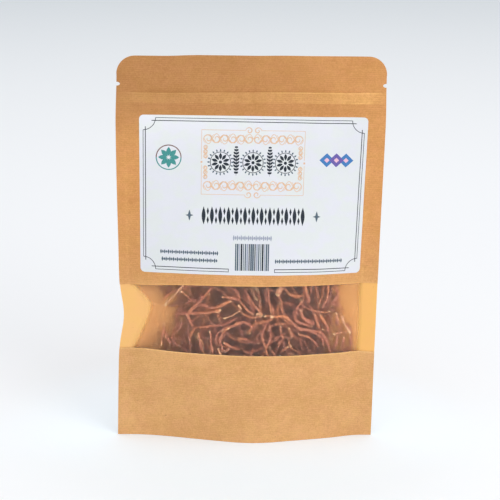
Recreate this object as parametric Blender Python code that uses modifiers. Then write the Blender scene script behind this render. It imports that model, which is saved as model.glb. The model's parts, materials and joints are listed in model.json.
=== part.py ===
"""A stand-up kraft pouch with a clear strip window, filled with dried cordyceps.

Metres, +Z up. The pouch's front looks along -Y. The origin is on the floor, at the middle of the base.
"""

import math

import bmesh
import bpy
import numpy as np

# Pouch outline, a flat bag of 6 by 9 inches that stands on its opened gusset
POUCH_HEIGHT = 0.224
TOP_HALF_WIDTH = 0.076
BASE_HALF_WIDTH = 0.0745
SEAL_WIDTH = 0.009
CORNER_RADIUS = 0.011
CORNER_ROWS_FROM = 0.212
NOTCH_HEIGHT = 0.2073
NOTCH_DEPTH = 0.0021
NOTCH_HALF_OPENING = 0.0011

# The filled body: how far each wall stands out from the side seams' plane
BELLY_DEPTH = 0.0150
BASE_DEPTH = 0.0143
BELLY_FULL_BELOW = 0.060
BELLY_ENDS_AT = 0.192
BELLY_LEAN = 0.08
DOME_FROM = 0.050

# The left seam is pinched inwards beside the window
PINCH_HEIGHT = 0.0765
PINCH_HALF_HEIGHT = 0.0145
PINCH_REACH = 0.0095
DENT_DEPTH = 0.0026

# Sheets: wall thickness, and the gaps that keep neighbouring sheets apart
KRAFT_THICKNESS = 0.00025
FILM_THICKNESS = 0.00020
LABEL_THICKNESS = 0.00015
HALF_GAP = 0.00015
SHEET_GAP = 0.00030
GUSSET_THICKNESS = 0.00025
LAYERED_SEAM = HALF_GAP + GUSSET_THICKNESS + SHEET_GAP
RIM_HEIGHT = 0.0005
GUSSET_SEAM_TOP = 0.038
GUSSET_SEAM_FADE = 0.044
FILM_SEAM_TOP = 0.100
FILM_SEAM_FADE = 0.112

# Strip window, from seam to seam, and the film's lap behind the paper
WINDOW_BOTTOM = 0.0525
WINDOW_TOP = 0.0933
FILM_LAP = 0.0030

# Press-to-close zip
ZIP_RIB_HEIGHT = 0.1980
ZIP_FLANGE_BELOW = 0.0050
ZIP_FLANGE_ABOVE = 0.0056
ZIP_SWELL = 0.00090
ZIP_RIB_SWELL = 0.00035
ZIP_FADE = 0.0012
ZIP_HALF_LENGTH = 0.0630
ZIP_FLANGE_FACE = 0.00060
ZIP_FLANGE_BACK = 0.00085

# Label, 5 by 3.5 inches
LABEL_LEFT = -0.0620
LABEL_RIGHT = 0.0650
LABEL_BOTTOM = 0.1009
LABEL_TOP = 0.1898
LABEL_CORNER = 0.0025

# Bottom gusset: each leaf is 38 mm wide, and the arch is a superellipse
GUSSET_LEAF = 0.038
GUSSET_DROP = 0.004
GUSSET_POWER = 1.7
GUSSET_CROWN_THICKNESS = 0.00040
GUSSET_STEPS = 9

# The heap of dried strands behind the window
PILE_BOTTOM = 0.0395
PILE_TOP = 0.1420
PILE_LEFT = -0.0500
PILE_RIGHT = 0.0540
PILE_BEHIND_FILM = 0.0105
PILE_BEHIND_PAPER = 0.0016
PILE_MEETS_PAPER_FROM, PILE_MEETS_PAPER_AT = 0.100, 0.114
PILE_BACK_GAP = 0.0012
PILE_LEAST_THICKNESS = 0.0012
PILE_FROM_CREASE = 0.012
PILE_NARROWS_FROM = 0.085
PILE_NARROWING = 0.16
PILE_COLUMNS = 11
PILE_ROWS = 12

# Single strands laid between the heap and the film
STRAND_SEED = 20
RANDOM_STRANDS = 26
RANDOM_TRIES = 4000
STRAND_CLEARANCE = 0.00035
HEAP_CLEARANCE = 0.00100
STRAND_STEP = 0.0058
CLUB_FROM, CLUB_FULL_AT = 0.25, 0.80
TIP_FROM, TIP_TAPER = 0.86, 0.5
CUT_END = 0.9
STIFFNESS_ROUNDS = 2
FIELD_CELL = 0.001
FIELD_LEFT, FIELD_RIGHT = -0.070, 0.070
FIELD_BOTTOM, FIELD_TOP = 0.034, 0.118
ROOM_FOR_FRONT = 0.0042
RANDOM_LEFT, RANDOM_RIGHT = -0.054, 0.058
RANDOM_BOTTOM, RANDOM_TOP = 0.041, 0.104

COLLECTION = "dried_cordyceps_pouch"


def smoothstep(low, high, value):
    """0 below low, 1 above high, and a smooth rise between them."""
    t = min(1.0, max(0.0, (value - low) / (high - low)))
    return t * t * (3 - 2 * t)


def mix(a, b, t):
    return a + (b - a) * t


def half_width(z):
    """Half the distance between the two side edges."""
    return mix(BASE_HALF_WIDTH, TOP_HALF_WIDTH, z / POUCH_HEIGHT)


def pinch(z):
    """1 where the left side is pressed flat furthest in, falling in straight lines to 0."""
    return max(0.0, 1 - abs(z - PINCH_HEIGHT) / PINCH_HALF_HEIGHT)


def dent(z):
    """How far the left edge is drawn in."""
    return DENT_DEPTH * math.exp(-(((z - PINCH_HEIGHT) / PINCH_HALF_HEIGHT) ** 2))


def notch(z):
    """Depth of the round tear notch at this height."""
    t = (z - NOTCH_HEIGHT) / NOTCH_HALF_OPENING
    return NOTCH_DEPTH * math.sqrt(max(0.0, 1 - t * t))


def crease_x(side, z):
    """Inner line of the side seal, where the wall starts to bulge."""
    x = side * (half_width(z) - SEAL_WIDTH)
    return x + dent(z) + PINCH_REACH * pinch(z) if side < 0 else x


def edge_x(side, z):
    """Outer edge of the side seal."""
    x = side * (half_width(z) - notch(z))
    return x + dent(z) if side < 0 else x


def across(x, z):
    """-1 at the left crease and 1 at the right one."""
    left, right = crease_x(-1, z), crease_x(1, z)
    return 2 * (x - left) / (right - left) - 1


def belly(z):
    """Greatest bulge of a wall at this height."""
    full = mix(BASE_DEPTH, BELLY_DEPTH, smoothstep(0, DOME_FROM, z))
    return full * (1 - smoothstep(BELLY_FULL_BELOW, BELLY_ENDS_AT, z))


def bulge(x, z):
    """Bulge at a point: a dome higher up, and a bell with flat corners at the base."""
    s = across(x, z)
    if abs(s) >= 1:
        return 0.0
    s -= BELLY_LEAN * (1 - s * s)
    dome = 1 - s * s
    bell = (1 + math.cos(math.pi * s)) / 2
    return belly(z) * mix(bell, dome, smoothstep(0, DOME_FROM, z))


def zip_swell(x, z):
    """How far the zip between the walls pushes each of them out."""
    low, high = ZIP_RIB_HEIGHT - ZIP_FLANGE_BELOW, ZIP_RIB_HEIGHT + ZIP_FLANGE_ABOVE
    band = smoothstep(low - ZIP_FADE, low, z) - smoothstep(high, high + ZIP_FADE, z)
    rib = max(0.0, 1 - abs(z - ZIP_RIB_HEIGHT) / (2 * ZIP_FADE))
    ends = 1 if abs(across(x, z)) < 1 else 0
    return ends * (ZIP_SWELL * band + ZIP_RIB_SWELL * rib)


def front_seam(z):
    """Front paper's distance from the seams' plane: film or gusset lies under it low down."""
    return mix(LAYERED_SEAM, HALF_GAP, smoothstep(FILM_SEAM_TOP, FILM_SEAM_FADE, z))


def back_seam(z):
    """Back paper's distance from the seams' plane: only the gusset lies under it."""
    return mix(LAYERED_SEAM, HALF_GAP, smoothstep(GUSSET_SEAM_TOP, GUSSET_SEAM_FADE, z))


def front_paper(x, z):
    return front_seam(z) + bulge(x, z) + zip_swell(x, z)


def back_paper(x, z):
    return back_seam(z) + bulge(x, z) + zip_swell(x, z)


def film_wall(x, z):
    return HALF_GAP + bulge(x, z)


def corner_drop(x, half, radius):
    """How far a rounded corner has fallen below the straight edge at x."""
    past = max(0.0, abs(x) - (half - radius))
    return radius - math.sqrt(max(0.0, radius * radius - past * past))


def column_x(column, z):
    """x of a column: up to 1 between the creases, and 1 to 2 across a side seal."""
    if abs(column) <= 1:
        return mix(crease_x(-1, z), crease_x(1, z), (column + 1) / 2)
    side = math.copysign(1, column)
    return mix(crease_x(side, z), edge_x(side, z), abs(column) - 1)


def wall_columns(steps):
    """Columns over a whole wall, with more of them at the rounded corners."""
    inner = [mix(-0.95, 0.95, i / steps) for i in range(steps + 1)]
    seal = [1.0, 1.5, 1.86, 2.0]
    return [-c for c in reversed(seal)] + inner + seal


def material(name, colour, roughness, alpha=1.0):
    made = bpy.data.materials.new(name)
    made.use_nodes = True
    shader = made.node_tree.nodes["Principled BSDF"]
    shader.inputs["Base Color"].default_value = (*colour, 1)
    shader.inputs["Roughness"].default_value = roughness
    shader.inputs["Alpha"].default_value = alpha
    return made


def add_object(name, data, finish, collection):
    made = bpy.data.objects.new(name, data)
    data.materials.append(finish)
    collection.objects.link(made)
    return made


def grid_mesh(name, columns, rows, place):
    """A grid whose vertex (i, j) is moved to place(columns[i], rows[j])."""
    mesh = bpy.data.meshes.new(name)
    shape = bmesh.new()
    across_steps, up_steps = len(columns) - 1, len(rows) - 1
    bmesh.ops.create_grid(shape, x_segments=across_steps, y_segments=up_steps, size=1)
    for vertex in shape.verts:
        i = round((vertex.co.x + 1) / 2 * across_steps)
        j = round((vertex.co.y + 1) / 2 * up_steps)
        vertex.co = place(columns[i], rows[j])
    shape.to_mesh(mesh)
    shape.free()
    return mesh


def add_sheet(name, columns, rows, place, thickness, outward, finish, collection):
    """A thin wall: the placed grid is its inner face, and it thickens outwards."""
    mesh = grid_mesh(name, columns, rows, place)
    if outward > 0:
        mesh.flip_normals()
    mesh.shade_smooth()
    made = add_object(name, mesh, finish, collection)
    shell = made.modifiers.new("thickness", "SOLIDIFY")
    shell.thickness = thickness
    shell.offset = 1
    return made


def wall_place(outward, depth):
    """Places a wall's grid: outward is -1 for the front and 1 for the back."""

    def place(column, row):
        x = column_x(column, row)
        z = row
        if row > CORNER_ROWS_FROM:
            share = (row - CORNER_ROWS_FROM) / (POUCH_HEIGHT - CORNER_ROWS_FROM)
            z -= share * corner_drop(x, TOP_HALF_WIDTH, CORNER_RADIUS)
        return x, outward * depth(x, row), z

    return place


def lower_rows():
    """Rows of a wall from the floor to the window's lower edge."""
    low = [0, RIM_HEIGHT, 0.008, 0.018, 0.028]
    return [*low, GUSSET_SEAM_TOP, GUSSET_SEAM_FADE, WINDOW_BOTTOM]


def label_rows():
    return [LABEL_BOTTOM, FILM_SEAM_FADE, 0.124, 0.138, 0.152, 0.166, 0.179, LABEL_TOP]


def zip_rows():
    low, high = ZIP_RIB_HEIGHT - ZIP_FLANGE_BELOW, ZIP_RIB_HEIGHT + ZIP_FLANGE_ABOVE
    rib = 2 * ZIP_FADE
    return [
        low - ZIP_FADE,
        low,
        ZIP_RIB_HEIGHT - rib,
        ZIP_RIB_HEIGHT,
        ZIP_RIB_HEIGHT + rib,
        high,
        high + ZIP_FADE,
    ]


def notch_rows():
    half = NOTCH_HALF_OPENING
    return [NOTCH_HEIGHT + t * half for t in (-1, -0.8, 0, 0.8, 1)]


def upper_rows():
    """Rows of a wall from the window's upper edge to the top edge."""
    top = [CORNER_ROWS_FROM, 0.218, POUCH_HEIGHT]
    return [WINDOW_TOP, *label_rows(), *zip_rows(), *notch_rows(), *top]


def window_rows():
    """Rows of the back wall behind the window, with one on each end of the pinch."""
    low, high = PINCH_HEIGHT - PINCH_HALF_HEIGHT, PINCH_HEIGHT + PINCH_HALF_HEIGHT
    return [low, mix(low, PINCH_HEIGHT, 0.5), PINCH_HEIGHT, mix(PINCH_HEIGHT, high, 0.5), high]


def add_walls(kraft, film, collection):
    """The paper walls, and the clear film that closes the strip window."""
    columns = wall_columns(14)
    front, back = wall_place(-1, front_paper), wall_place(1, back_paper)
    sheets = (
        ("front_panel_lower", lower_rows(), front, -1),
        ("front_panel_upper", upper_rows(), front, -1),
        ("back_panel", lower_rows() + window_rows() + upper_rows(), back, 1),
    )
    for name, rows, place, outward in sheets:
        add_sheet(name, columns, rows, place, KRAFT_THICKNESS, outward, kraft, collection)
    rows = [WINDOW_BOTTOM - FILM_LAP, *window_rows(), WINDOW_TOP + FILM_LAP]
    place = wall_place(-1, film_wall)
    add_sheet("window_film", columns, rows, place, FILM_THICKNESS, -1, film, collection)


def add_label(paper, collection):
    """The sticker on the front, with small rounded corners."""
    middle_x, half_w = (LABEL_LEFT + LABEL_RIGHT) / 2, (LABEL_RIGHT - LABEL_LEFT) / 2
    middle_z, half_h = (LABEL_BOTTOM + LABEL_TOP) / 2, (LABEL_TOP - LABEL_BOTTOM) / 2
    stand_off = KRAFT_THICKNESS + SHEET_GAP
    corner = [1.0, 1 - 0.25 * LABEL_CORNER / half_w, 1 - LABEL_CORNER / half_w]
    inner = [mix(-0.9, 0.9, i / 12) for i in range(13)]
    columns = [-c for c in corner] + inner + corner[::-1]

    def place(column, row):
        x = column * half_w
        share = 1 - corner_drop(x, half_w, LABEL_CORNER) / half_h
        z = middle_z + (row - middle_z) * share
        return middle_x + x, -(front_paper(middle_x + x, z) + stand_off), z

    rows = label_rows()
    add_sheet("label", columns, rows, place, LABEL_THICKNESS, -1, paper, collection)


def inside_arch(angle):
    """True away from the arch's two feet, where the sine is zero but for rounding."""
    return 1e-6 < angle < math.pi - 1e-6


def arch_place(inside):
    """Places the gusset's grid: its face towards the walls, or the one inside the arch."""
    exponent = 2 / GUSSET_POWER
    widest = BASE_DEPTH + LAYERED_SEAM

    def place(column, angle):
        x = column_x(column, 0)
        depth = front_paper(x, 0) - SHEET_GAP
        height = GUSSET_LEAF - GUSSET_DROP * (depth / widest) ** 2
        if inside:
            depth -= GUSSET_THICKNESS
            height -= GUSSET_CROWN_THICKNESS
        y = -math.copysign(depth, math.cos(angle)) * abs(math.cos(angle)) ** exponent
        return x, y, height * math.sin(angle) ** exponent if inside_arch(angle) else 0.0

    return place


def add_gusset(kraft, collection):
    """The folded bottom: a leaf rises from each wall's foot and they meet in an arch."""
    columns = [c for c in wall_columns(14) if abs(c) <= 1.5]
    angles = [math.pi * i / GUSSET_STEPS for i in range(GUSSET_STEPS + 1)]
    shape = bmesh.new()
    for inside in (False, True):
        face = bmesh.new()
        mesh = grid_mesh("bottom_gusset", columns, angles, arch_place(inside))
        face.from_mesh(mesh)
        # Both faces split their squares along the same diagonals, so they can't cross
        bmesh.ops.triangulate(face, faces=face.faces, quad_method="FIXED")
        face.to_mesh(mesh)
        face.free()
        shape.from_mesh(mesh)
        bpy.data.meshes.remove(mesh)
    bmesh.ops.bridge_loops(shape, edges=[e for e in shape.edges if e.is_boundary])
    bmesh.ops.recalc_face_normals(shape, faces=shape.faces)
    mesh = bpy.data.meshes.new("bottom_gusset")
    shape.to_mesh(mesh)
    shape.free()
    add_object("bottom_gusset", mesh, kraft, collection)


def add_zip_strip(name, outline, plastic, collection):
    """One half of the zip: its section in Y and Z, extruded along X."""
    data = bpy.data.curves.new(name, "CURVE")
    data.dimensions = "2D"
    data.fill_mode = "BOTH"
    data.extrude = ZIP_HALF_LENGTH
    spline = data.splines.new("POLY")
    spline.points.add(len(outline) - 1)
    for point, (y, z) in zip(spline.points, outline):
        point.co = (y, z, 0, 1)
    spline.use_cyclic_u = True
    made = add_object(name, data, plastic, collection)
    # The curve's X, Y and extrusion become the pouch's Y, Z and X
    made.rotation_euler = (math.pi / 2, 0, math.pi / 2)
    made.location.z = ZIP_RIB_HEIGHT
    return made


def add_zip(plastic, collection):
    """The ribbed strip on the front wall, and the grooved one behind that grips it."""
    low, high = -ZIP_FLANGE_BELOW, ZIP_FLANGE_ABOVE
    face, back = ZIP_FLANGE_FACE, ZIP_FLANGE_BACK
    stem, head, tip = 0.00020, 0.00065, 0.00030
    head_back, head_front = 0.00005, 0.00040
    ribbed = [
        (-back, low), (-face, low), (-face, -stem), (head_back, -stem),
        (head_back, -head), (head_front, -tip), (head_front, tip), (head_back, head),
        (head_back, stem), (-face, stem), (-face, high), (-back, high),
    ]
    hook, lip_inside, lip_outside = 0.00050, 0.00095, 0.00125
    hook_near, hook_far = -0.00020, -0.00042
    upper_lip = [
        (face, lip_inside), (hook_near, lip_inside), (hook_near, hook),
        (hook_far, hook), (hook_far, lip_outside), (face, lip_outside),
    ]
    lower_lip = [(y, -z) for y, z in reversed(upper_lip)]
    grooved = [(face, low), *lower_lip, *upper_lip, (face, high), (back, high), (back, low)]
    add_zip_strip("zip_rib_strip", ribbed, plastic, collection)
    add_zip_strip("zip_groove_strip", grooved, plastic, collection)


def pile_back(x, z):
    """The heap's rear face, as a distance towards the viewer from the seams' plane."""
    return PILE_BACK_GAP - bulge(x, z)


def pile_front(x, z):
    """The heap's front face, measured the same way."""
    up = smoothstep(PILE_MEETS_PAPER_FROM, PILE_MEETS_PAPER_AT, z)
    behind = mix(PILE_BEHIND_FILM, PILE_BEHIND_PAPER, up)
    return max(film_wall(x, z) - behind, pile_back(x, z) + PILE_LEAST_THICKNESS)


def add_pile(dried, collection):
    """The rest of the heap as one closed solid, standing behind the single strands."""
    columns = [mix(-1, 1, i / PILE_COLUMNS) for i in range(PILE_COLUMNS + 1)]
    rows = [mix(PILE_BOTTOM, PILE_TOP, i / PILE_ROWS) for i in range(PILE_ROWS + 1)]
    middle, half = (PILE_LEFT + PILE_RIGHT) / 2, (PILE_RIGHT - PILE_LEFT) / 2
    loop = [(t, True) for t in columns] + [(t, False) for t in reversed(columns)]
    loop.append(loop[0])

    def place(corner, row):
        t, in_front = corner
        # The heap narrows towards its top, and its rim stays inside the pinched side
        narrowing = PILE_NARROWING * smoothstep(PILE_NARROWS_FROM, PILE_TOP, row)
        x = max(middle + t * half * (1 - narrowing), crease_x(-1, row) + PILE_FROM_CREASE)
        y = -pile_front(x, row) if in_front else -pile_back(x, row)
        return x, y, row

    mesh = grid_mesh("cordyceps_pile", loop, rows, place)
    shape = bmesh.new()
    shape.from_mesh(mesh)
    bmesh.ops.remove_doubles(shape, verts=shape.verts, dist=1e-6)
    bmesh.ops.holes_fill(shape, edges=[e for e in shape.edges if e.is_boundary])
    bmesh.ops.recalc_face_normals(shape, faces=shape.faces)
    shape.to_mesh(mesh)
    shape.free()
    add_object("cordyceps_pile", mesh, dried, collection)


class PileField:
    """How far forward the heap has grown, on a grid of cells over the window's region."""

    def __init__(self):
        self.xs = np.arange(FIELD_LEFT, FIELD_RIGHT + FIELD_CELL / 2, FIELD_CELL)
        self.zs = np.arange(FIELD_BOTTOM, FIELD_TOP + FIELD_CELL / 2, FIELD_CELL)
        self.top = np.array([[self.ground(x, z) for x in self.xs] for z in self.zs])
        film = [[film_wall(x, z) - STRAND_CLEARANCE for x in self.xs] for z in self.zs]
        self.film = np.array(film)

    @staticmethod
    def ground(x, z):
        """What a first strand rests on."""
        return pile_front(x, z) + HEAP_CLEARANCE

    def window(self, x, z, reach):
        """Slices and distances of the cells within reach of a point, or None outside."""
        i, j = (x - FIELD_LEFT) / FIELD_CELL, (z - FIELD_BOTTOM) / FIELD_CELL
        span = math.ceil(reach / FIELD_CELL) + 1
        low_i, low_j = round(i) - span, round(j) - span
        high_i, high_j = round(i) + span + 1, round(j) + span + 1
        if min(low_i, low_j) < 0 or high_i > len(self.xs) or high_j > len(self.zs):
            return None
        rows, cols = slice(low_j, high_j), slice(low_i, high_i)
        away = np.hypot(self.xs[cols][None, :] - x, self.zs[rows][:, None] - z)
        return rows, cols, away <= reach

    def lay(self, path, radii, headroom):
        """Lays a strand on the heap and returns its heights, or None if it doesn't fit."""
        needs, rooms = [], []
        for start, end, r0, r1 in zip(path, path[1:], radii, radii[1:]):
            need, room = -1.0, 1.0
            for t in np.linspace(0, 1, 7):
                x, z = mix(start, end, t)
                radius = mix(r0, r1, t)
                found = self.window(x, z, radius + 0.7 * FIELD_CELL)
                if found is None:
                    return None
                rows, cols, near = found
                # Both are measured from the film, because a strand follows its curve
                here = film_wall(x, z)
                need = max(need, self.top[rows, cols][near].max() + radius - here)
                room = min(room, self.film[rows, cols][near].min() - radius - here)
            needs.append(need)
            rooms.append(room - headroom)
        ends = [needs[0], *needs, needs[-1]]
        over = [max(a, b) for a, b in zip(ends, ends[1:])]
        below = self.taut(over)
        if any(max(h0, h1) > room for h0, h1, room in zip(below, below[1:], rooms)):
            return None
        heights = [film_wall(x, z) + h for (x, z), h in zip(path, below)]
        self.bury(path, radii, heights)
        return heights

    @staticmethod
    def taut(least):
        """The least heights, with the dips between high points pulled straight."""
        heights = list(least)
        for _ in range(STIFFNESS_ROUNDS):
            for i in range(1, len(heights) - 1):
                bridge = (heights[i - 1] + heights[i + 1]) / 2
                heights[i] = max(least[i], heights[i], bridge)
        return heights

    def bury(self, path, radii, heights):
        """Raises the heap's field over a strand that has been laid."""
        steps = zip(path, path[1:], radii, radii[1:], heights, heights[1:])
        for start, end, r0, r1, h0, h1 in steps:
            for t in np.linspace(0, 1, 13):
                x, z = mix(start, end, t)
                radius = mix(r0, r1, t)
                found = self.window(x, z, radius + 0.5 * FIELD_CELL)
                if found is None:
                    continue
                rows, cols, near = found
                top = mix(h0, h1, t) + radius + STRAND_CLEARANCE
                cells = self.top[rows, cols]
                cells[near] = np.maximum(cells[near], top)


def smooth_path(points):
    """A Catmull-Rom curve through the points, read off in steps of about STRAND_STEP."""
    points = [np.array(p, float) for p in points]
    ends = [2 * points[0] - points[1], *points, 2 * points[-1] - points[-2]]
    path = [points[0]]
    for a, b, c, d in zip(ends, ends[1:], ends[2:], ends[3:]):
        steps = max(1, round(np.linalg.norm(c - b) / STRAND_STEP))
        for i in range(1, steps + 1):
            t = i / steps
            cubic = -a + 3 * b - 3 * c + d
            square = 2 * a - 5 * b + 4 * c - d
            path.append((2 * b + (c - a) * t + square * t * t + cubic * t**3) / 2)
    return path


def strand_radii(count, stem, head):
    """Radius along a strand: a thin stem that thickens into a club and ends blunt."""
    radii = []
    for i in range(count):
        t = i / (count - 1)
        radius = mix(stem, head, smoothstep(CLUB_FROM, CLUB_FULL_AT, t))
        radii.append(radius * (1 - TIP_TAPER * smoothstep(TIP_FROM, 1, t)))
    radii[0] *= CUT_END
    return radii


# Strands that show at the front of the window: stem and head radius, then the route
# in millimetres from the stem's cut end, across and up from the middle of the base
FRONT_STRANDS = (
    (0.50, 0.75, ((31, 82), (32, 88), (31, 94), (28, 101))),
    (0.75, 1.15, ((44, 60), (42, 66), (40, 71), (38, 77), (35, 81))),
    (0.65, 0.95, ((9, 76), (17, 76), (24, 72), (31, 68), (38, 66), (43, 62), (44, 57))),
    (0.75, 1.00, ((-32, 48), (-33, 61), (-30, 67), (-22, 69), (-13, 71), (-6, 75))),
    (0.80, 1.35, ((-17, 78), (-24, 79), (-28, 82), (-32, 84), (-36, 81))),
    (0.45, 0.70, ((-17, 80), (-23, 78), (-30, 77), (-41, 76))),
    (0.70, 1.25, ((3, 77), (-1, 80), (-5, 85), (-7, 90), (-11, 93))),
    (0.70, 1.15, ((8, 77), (4, 82), (0, 87), (-2, 91))),
    (0.50, 0.70, ((13, 78), (12, 84), (11, 92), (9, 99))),
    (0.60, 1.05, ((8, 49), (11, 58), (13, 64), (12, 72))),
    (0.60, 0.95, ((13, 50), (10, 58), (8, 66), (11, 73))),
    (0.90, 1.55, ((37, 69), (32, 71), (27, 74), (27, 78), (31, 80))),
    (0.45, 0.60, ((48, 77), (42, 78), (35, 80), (30, 83))),
    (0.60, 1.00, ((49, 58), (49, 66), (48, 75))),
    (0.50, 0.75, ((41, 82), (43, 88), (43, 96), (46, 102))),
    (0.50, 0.80, ((-4, 54), (-11, 57), (-18, 60), (-17, 66), (-12, 70), (-3, 71))),
    (0.45, 0.60, ((3, 65), (4, 71), (4, 76))),
    (0.50, 0.80, ((-49, 82), (-45, 87), (-39, 91), (-37, 98))),
)


def add_strand(number, path, heights, radii, dried, collection):
    """One dried fruiting body: a bent tube whose thickness follows its radii."""
    name = f"cordyceps_{number:02d}"
    data = bpy.data.curves.new(name, "CURVE")
    data.dimensions = "3D"
    data.bevel_depth = 1
    data.bevel_resolution = 1
    data.use_fill_caps = True
    spline = data.splines.new("POLY")
    spline.points.add(len(path) - 1)
    for point, (x, z), height, radius in zip(spline.points, path, heights, radii):
        point.co = (x, -height, z, 1)
        point.radius = radius
    add_object(name, data, dried, collection)


def random_route(rng):
    """A lazily bent route in the window's region, as points across and up."""
    length = rng.uniform(0.034, 0.070)
    heading = rng.uniform(0, 2 * math.pi)
    drift = rng.uniform(-1, 1) * 1.3
    sway, turns, phase = rng.uniform(0.3, 0.9), rng.uniform(0.6, 1.6), rng.uniform(0, 6)
    steps = max(5, round(length / STRAND_STEP))
    x = rng.uniform(RANDOM_LEFT, RANDOM_RIGHT)
    z = rng.uniform(RANDOM_BOTTOM, RANDOM_TOP)
    route = [np.array((x, z))]
    for i in range(steps):
        t = i / steps
        angle = heading + drift * t + sway * math.sin(2 * math.pi * turns * t + phase)
        step = np.array((math.cos(angle), math.sin(angle))) * length / steps
        route.append(route[-1] + step)
    return route


def in_region(route):
    return all(
        RANDOM_LEFT <= x <= RANDOM_RIGHT and RANDOM_BOTTOM <= z <= RANDOM_TOP
        for x, z in route
    )


def add_strands(dried, collection):
    """Lays loose strands on the heap, and then the ones that show against the film."""
    rng = np.random.default_rng(STRAND_SEED)
    field = PileField()
    laid = 0
    for _ in range(RANDOM_TRIES):
        if laid == RANDOM_STRANDS:
            break
        route = random_route(rng)
        stem = rng.uniform(0.0006, 0.0010)
        radii = strand_radii(len(route), stem, stem * rng.uniform(1.1, 1.7))
        heights = field.lay(route, radii, ROOM_FOR_FRONT) if in_region(route) else None
        if heights:
            laid += 1
            add_strand(laid, route, heights, radii, dried, collection)
    for stem, head, route in FRONT_STRANDS:
        path = smooth_path([(x / 1000, z / 1000) for x, z in route])
        radii = strand_radii(len(path), stem / 1000, head / 1000)
        heights = field.lay(path, radii, 0)
        if not heights:
            print("this front strand finds no room:", route)
            continue
        laid += 1
        add_strand(laid, path, heights, radii, dried, collection)


def main():
    for old in list(bpy.data.objects):
        bpy.data.objects.remove(old)
    collection = bpy.data.collections.new(COLLECTION)
    bpy.context.scene.collection.children.link(collection)
    kraft = material("kraft_paper", (0.66, 0.37, 0.15), 0.75)
    film = material("matt_film", (0.93, 0.90, 0.86), 0.35, alpha=0.35)
    paper = material("label_paper", (0.84, 0.86, 0.89), 0.45)
    plastic = material("zip_plastic", (0.85, 0.84, 0.80), 0.40)
    dried = material("dried_fungus", (0.36, 0.15, 0.08), 0.65)
    add_walls(kraft, film, collection)
    add_gusset(kraft, collection)
    add_zip(plastic, collection)
    add_label(paper, collection)
    add_pile(dried, collection)
    add_strands(dried, collection)


main()
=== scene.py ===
"""Looks of a stand-up kraft pouch with a frosted strip window, filled with dried cordyceps.

Metres, +Z up. The front looks along -Y, and the origin is on the floor at the middle of the base.
The walls, film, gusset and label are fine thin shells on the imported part's own places. The strands
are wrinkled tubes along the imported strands' centre lines, with a loose tangle laid around them.
"""

from __future__ import annotations

import json
import logging
import math
from collections.abc import Callable, Iterable, Sequence
from dataclasses import dataclass, fields
from enum import Enum
from functools import reduce
from typing import NamedTuple

import bmesh
import bpy
import numpy as np
from mathutils import Matrix, Vector

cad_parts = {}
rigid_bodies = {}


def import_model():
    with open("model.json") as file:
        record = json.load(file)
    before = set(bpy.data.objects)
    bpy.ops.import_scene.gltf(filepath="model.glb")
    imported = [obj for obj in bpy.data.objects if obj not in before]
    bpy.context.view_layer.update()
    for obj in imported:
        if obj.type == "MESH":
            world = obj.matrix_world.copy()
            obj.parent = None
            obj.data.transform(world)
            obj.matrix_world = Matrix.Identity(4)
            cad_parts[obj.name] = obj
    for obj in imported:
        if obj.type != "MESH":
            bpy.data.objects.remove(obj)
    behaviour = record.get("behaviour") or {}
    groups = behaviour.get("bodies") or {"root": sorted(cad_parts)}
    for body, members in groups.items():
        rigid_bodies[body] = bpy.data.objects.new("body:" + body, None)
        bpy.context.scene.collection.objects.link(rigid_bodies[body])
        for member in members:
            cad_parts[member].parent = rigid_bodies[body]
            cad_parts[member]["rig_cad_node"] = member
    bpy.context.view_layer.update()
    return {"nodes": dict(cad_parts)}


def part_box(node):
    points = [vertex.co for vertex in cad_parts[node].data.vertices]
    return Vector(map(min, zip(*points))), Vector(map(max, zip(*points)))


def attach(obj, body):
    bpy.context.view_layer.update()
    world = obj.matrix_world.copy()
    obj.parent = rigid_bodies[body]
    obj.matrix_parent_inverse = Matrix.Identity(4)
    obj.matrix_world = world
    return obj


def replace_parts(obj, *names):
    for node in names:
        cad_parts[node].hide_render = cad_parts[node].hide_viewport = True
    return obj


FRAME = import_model()
BODY = "root"
MM = 0.001
WHITE = (1.0, 1.0, 1.0)
BLACK = (0.0, 0.0, 0.0)

log = logging.getLogger("pouch")

Colour = tuple[float, float, float]
Point2 = tuple[float, float]
Point3 = tuple[float, float, float]
Array = np.ndarray
Object = bpy.types.Object
Material = bpy.types.Material
Socket = bpy.types.NodeSocket
Value = "float | Sequence[float] | Socket"
Depth = Callable[[Array, Array], Array]


def smoothstep(low: float, high: float, value: Array) -> Array:
    """0 below low, 1 above high, and a smooth rise between them."""
    t = np.clip((value - low) / (high - low), 0, 1)
    return t * t * (3 - 2 * t)


def fade(low: float, high: float, value: Array) -> Array:
    """1 below low, 0 above high, and a smooth fall between them."""
    return 1 - smoothstep(low, high, value)


def hump(value: Array, middle: float, width: float, power: int = 2) -> Array:
    """1 at the middle and next to 0 from two widths away. A higher power makes its top flatter."""
    return np.exp(-(((value - middle) / width) ** power))


def mix(a: Array, b: Array, t: Array) -> Array:
    """The value a share t of the way from a to b."""
    return a + (b - a) * t


@dataclass(frozen=True)
class Slope:
    """A smooth change between two places.

    Args:
        amount: of the whole change.
        start, end: the two places.
    """

    amount: float
    start: float
    end: float

    def done(self, place: Array) -> Array:
        """How much has changed up to a place."""
        return self.amount * smoothstep(self.start, self.end, place)

    def left(self, place: Array) -> Array:
        """How much is left to change from a place on."""
        return self.amount * fade(self.start, self.end, place)


# The pouch's form


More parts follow.
